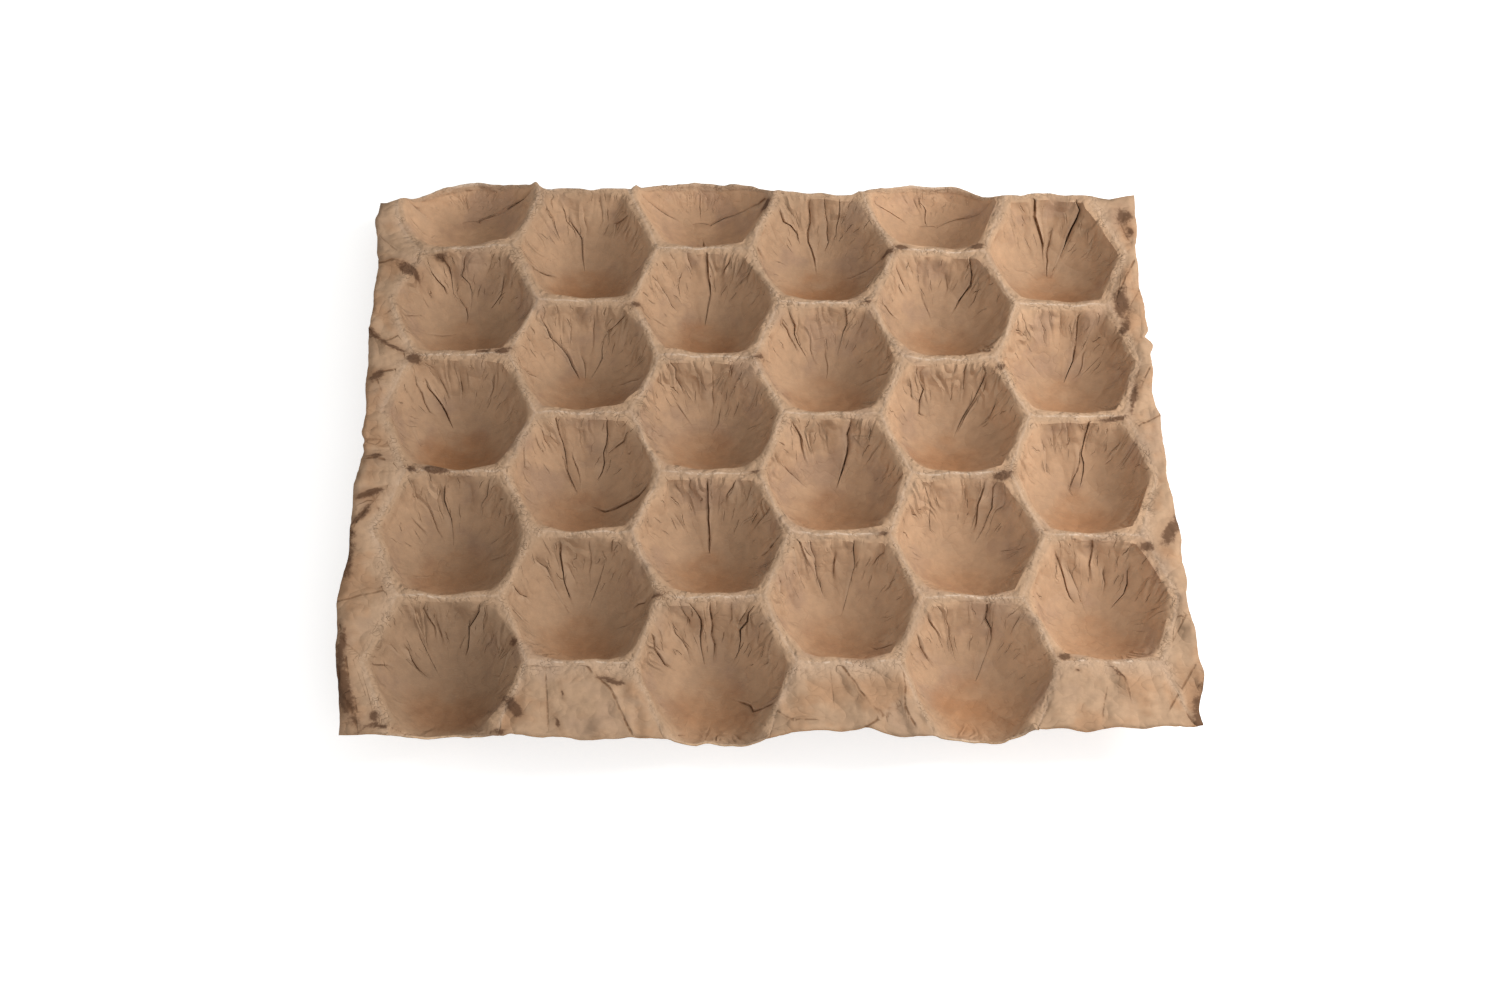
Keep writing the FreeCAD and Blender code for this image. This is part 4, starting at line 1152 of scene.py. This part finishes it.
    def relief(self):
        """Kinks, gathers, pleats and fibres, and the creases with their lips."""
        drawn = self.times(self.remap(self.where[2], 0.25, 0.75, 1.0, 0.0), self.gathered)
        lift = self.times(self.kinks["Facets"],
                          self.times_add(self.on_flat, FLAT_KINK_LIFT, KINK_LIFT))
        on_edges = self.times_add(self.on_ridge, RIDGE_KINK_LIFT,
                                  self.times(self.on_flat, FLAT_RIDGE_KINK_LIFT))
        for pattern, height in (
                (self.ridge_kinks["Facets"], on_edges),
                (self.times(self.fine_kinks["Facets"], self.on_ridge), FINE_KINK_LIFT),
                (self.times(self.gathers["Facets"], self.on_wall), self.times(drawn, GATHER_LIFT)),
                (self.times(self.pleats["Pleats"], self.on_wall), self.times(drawn, PLEAT_LIFT)),
                (self.mottle, MOTTLE_LIFT), (self.pulp["Fibres"], FIBRE_LIFT),
                (self.lips, LIP_LIFT), (self.dark, CREASE_LIFT)):
            lift = self.times_add(pattern, height, lift)
        return lift


# ---------------- the operators
def length(name, description, default, most):
    return FloatProperty(name=name, description=description, default=default, min=0.0, max=most,
                         unit="LENGTH", subtype="DISTANCE")


def colour(name, description, default):
    return FloatVectorProperty(name=name, description=description, default=default, min=0.0,
                               max=1.0, size=3, subtype="COLOR")


def brightness(name, description, default, most):
    return FloatProperty(name=name, description=description, default=default, min=0.0, max=most)


class TraySettings(bpy.types.PropertyGroup):
    """What a user would change on the tray and in its studio"""
    paper: length("Paper", "Thickness of the sheet", 0.001, 0.004)
    gather_depth: length("Gathers", "Height of the soft gathers down the cup walls", 0.0036, 0.006)
    crease_depth: length("Creases", "Depth of the sharp creases in the cup walls", 0.0007, 0.004)
    crumple: length("Crumple", "Unevenness of the ridges and the flat margins", 0.0009, 0.003)
    paper_colour: colour("Paper Colour", "Colour of clean kraft paper", (0.50, 0.318, 0.195))
    # The ridges' colour: partly the pressed paper's own, partly painted light where they stand out
    ridge_paper_and_light_colour: colour("Ridge Colour", "Colour of the paper where it is pressed into ridges",
                         (0.54, 0.375, 0.25))
    # Painted shade and warm bounce light deep in the cups
    bottom_shade_colour: colour("Bottom Colour", "Colour of the paper deep in the cups",
                          (0.42, 0.206, 0.095))
    # Painted shade inside the creases
    crease_shade_colour: colour("Crease Colour", "Colour of the paper inside a sharp crease",
                          (0.2, 0.096, 0.042))
    stain_colour: colour("Stain Colour", "Colour of the dark stains", (0.115, 0.055, 0.028))
    floor_colour: colour("Floor Colour", "Colour of the studio floor", (0.82, 0.82, 0.82))
    key_power: brightness("Key Light", "Power of the soft lamp at the right, in watts", 6.2, 500.0)
    fill_power: brightness("Fill Light", "Power of the large soft lamp in front, in watts",
                           8.6, 500.0)
    sky: brightness("Sky", "Brightness of the even light from all round", 0.45, 5.0)


class TRAY_OT_press_sheet(bpy.types.Operator):
    """Press the kraft paper sheet into its cups and give it its thickness and its finish"""
    bl_idname = "apple_tray.press_sheet"
    bl_label = "Press Sheet"

    def execute(self, context):
        blank = cup_blank()
        parts = [press_cup(blank, cup) for cup in all_cups()]
        bpy.data.objects.remove(blank)
        parts += [front_panel(column) for column in range(COLUMNS) if not is_shifted(column)]
        parts += [side_margin(-1), side_margin(1)]
        bpy.ops.object.select_all(action="DESELECT")
        for part in parts:
            part.select_set(True)
        sheet = parts[0]
        context.view_layer.objects.active = sheet
        bpy.ops.object.join()
        sheet.name = sheet.data.name = "kraft_paper_tray"
        bpy.ops.object.mode_set(mode="EDIT")
        bpy.ops.mesh.select_all(action="SELECT")
        bpy.ops.mesh.remove_doubles(threshold=SAME_PLACE)
        bpy.ops.mesh.normals_make_consistent(inside=False)
        bpy.ops.object.mode_set(mode="OBJECT")
        if sum(face.normal.z * face.area for face in sheet.data.polygons) < 0:
            bpy.ops.object.mode_set(mode="EDIT")
            bpy.ops.mesh.flip_normals()
            bpy.ops.object.mode_set(mode="OBJECT")
        crumple(sheet.data)
        bpy.ops.object.shade_smooth_by_angle(angle=math.radians(SMOOTH_ANGLE))
        groups = (fibre_group(), wall_place_group(), short_crease_group(), crumple_group(),
                  pleat_group())
        for name, tinge in (("kraft_paper_face", (1, 1, 1)),
                            ("kraft_paper_cut_edge", (1, 0.9, 0.75))):
            sheet.data.materials.append(KraftPaper(name, groups, tinge).material)
        wall = sheet.modifiers.new("paper_thickness", "SOLIDIFY")
        wall.thickness = settings().paper
        wall.offset = -1.0
        wall.use_even_offset = False
        wall.material_offset_rim = 1
        bpy.ops.object.modifier_apply(modifier=wall.name)
        if len(sheet.data.polygons) == 0:
            raise RuntimeError("the sheet has no faces")
        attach(sheet, "root")
        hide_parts(NODE)
        return {"FINISHED"}


# The studio: where the camera stands, in metres and degrees, its lens in mm, and the lamps
VIEW_TARGET = Vector((-0.00930, -0.03297, 0.00393))
VIEW_AZIMUTH, VIEW_ELEVATION, VIEW_ROLL = -6.127, 55.725, 5.338
VIEW_DISTANCE = 1.3648
VIEW_LENS, VIEW_SENSOR, VIEW_END = 54.62, 36.0, 50.0
FLOOR_SIZE = 12.0
FLOOR_GLOW = 0.6
KEY_SPOT, KEY_SIZE, KEY_COLOUR = (0.72, 0.07, 0.62), (0.5, 0.5), (1.0, 0.98, 0.955)
FILL_SPOT, FILL_SIZE, FILL_COLOUR = (0.1, -1.5, 1.25), (1.6, 1.0), (0.97, 0.98, 1.0)
SKY_COLOUR = (1.0, 0.985, 0.955, 1.0)
WHITE = (1.0, 1.0, 1.0, 1.0)


def aimed(spot, target):
    """A placing at the spot, with -Z towards the target."""
    turn = (Vector(target) - Vector(spot)).to_track_quat("-Z", "Y")
    return Matrix.Translation(spot) @ turn.to_matrix().to_4x4()


def floor_material():
    """A pale floor that glows a little for the camera alone, and keeps its shadows."""
    material = bpy.data.materials.new("studio_floor")
    nodes = Nodes(emptied(material))
    plain = nodes.add("ShaderNodeBsdfDiffuse", {"Color": opaque(settings().floor_colour)})
    glow = nodes.add("ShaderNodeEmission", {"Color": WHITE, "Strength": FLOOR_GLOW})
    both = nodes.add("ShaderNodeAddShader", {0: plain.outputs[0], 1: glow.outputs[0]})
    nodes.add("ShaderNodeOutputMaterial", {"Surface": nodes.for_camera(plain, both)})
    return material


def studio_sky():
    """An even light from all round, which the camera sees as white."""
    world = bpy.data.worlds.new("studio_sky")
    nodes = Nodes(emptied(world))
    sky = nodes.add("ShaderNodeBackground", {"Color": SKY_COLOUR, "Strength": settings().sky})
    white = nodes.add("ShaderNodeBackground", {"Color": WHITE, "Strength": 1.0})
    nodes.add("ShaderNodeOutputWorld", {"Surface": nodes.for_camera(sky, white)})
    return world


def hang_lamp(name, spot, size, power, colour):
    bpy.ops.object.light_add(type="AREA")
    lamp = bpy.context.object
    lamp.name = name
    lamp.data.shape = "RECTANGLE"
    lamp.data.size, lamp.data.size_y = size
    lamp.data.energy = power
    lamp.data.color = colour
    lamp.matrix_world = aimed(spot, (0, 0, 0))


class TRAY_OT_set_stage(bpy.types.Operator):
    """Lay a pale floor, hang two soft lamps under an even sky and set up the camera"""
    bl_idname = "apple_tray.set_stage"
    bl_label = "Set Stage"

    def execute(self, context):
        scene = context.scene
        bpy.ops.object.select_all(action="DESELECT")
        bpy.ops.mesh.primitive_plane_add(size=FLOOR_SIZE, location=(0, 0, 0))
        floor = context.object
        floor.name = "studio_floor"
        floor.data.materials.append(floor_material())

        hang_lamp("key_lamp", KEY_SPOT, KEY_SIZE, settings().key_power, KEY_COLOUR)
        hang_lamp("fill_lamp", FILL_SPOT, FILL_SIZE, settings().fill_power, FILL_COLOUR)

        scene.world = studio_sky()

        bpy.ops.object.camera_add()
        camera = context.object
        camera.data.sensor_width = VIEW_SENSOR
        camera.data.lens = VIEW_LENS
        camera.data.clip_end = VIEW_END
        turn = (Matrix.Rotation(math.radians(VIEW_AZIMUTH), 4, "Z")
                @ Matrix.Rotation(math.radians(90 - VIEW_ELEVATION), 4, "X"))
        back = turn @ Vector((0, 0, VIEW_DISTANCE))
        camera.matrix_world = (Matrix.Translation(VIEW_TARGET + back) @ turn
                               @ Matrix.Rotation(math.radians(VIEW_ROLL), 4, "Z"))
        scene.camera = camera
        scene.view_settings.view_transform = "Standard"
        return {"FINISHED"}


class TRAY_PT_panel(bpy.types.Panel):
    """The apple tray's pieces and settings"""
    bl_idname = "TRAY_PT_panel"
    bl_label = "Apple Tray"
    bl_space_type = "VIEW_3D"
    bl_region_type = "UI"
    bl_category = "Apple Tray"

    def draw(self, context):
        layout = self.layout
        for name in TraySettings.__annotations__:
            layout.prop(context.scene.apple_tray, name)
        layout.operator(TRAY_OT_press_sheet.bl_idname)
        layout.operator(TRAY_OT_set_stage.bl_idname)


CLASSES = (TraySettings, TRAY_OT_press_sheet, TRAY_OT_set_stage, TRAY_PT_panel)


def register():
    for item in CLASSES:
        bpy.utils.register_class(item)
    bpy.types.Scene.apple_tray = PointerProperty(type=TraySettings)


def unregister():
    del bpy.types.Scene.apple_tray
    for item in reversed(CLASSES):
        bpy.utils.unregister_class(item)


def main():
    register()
    bpy.ops.apple_tray.press_sheet()
    bpy.ops.apple_tray.set_stage()


if __name__ == "__main__":
    main()
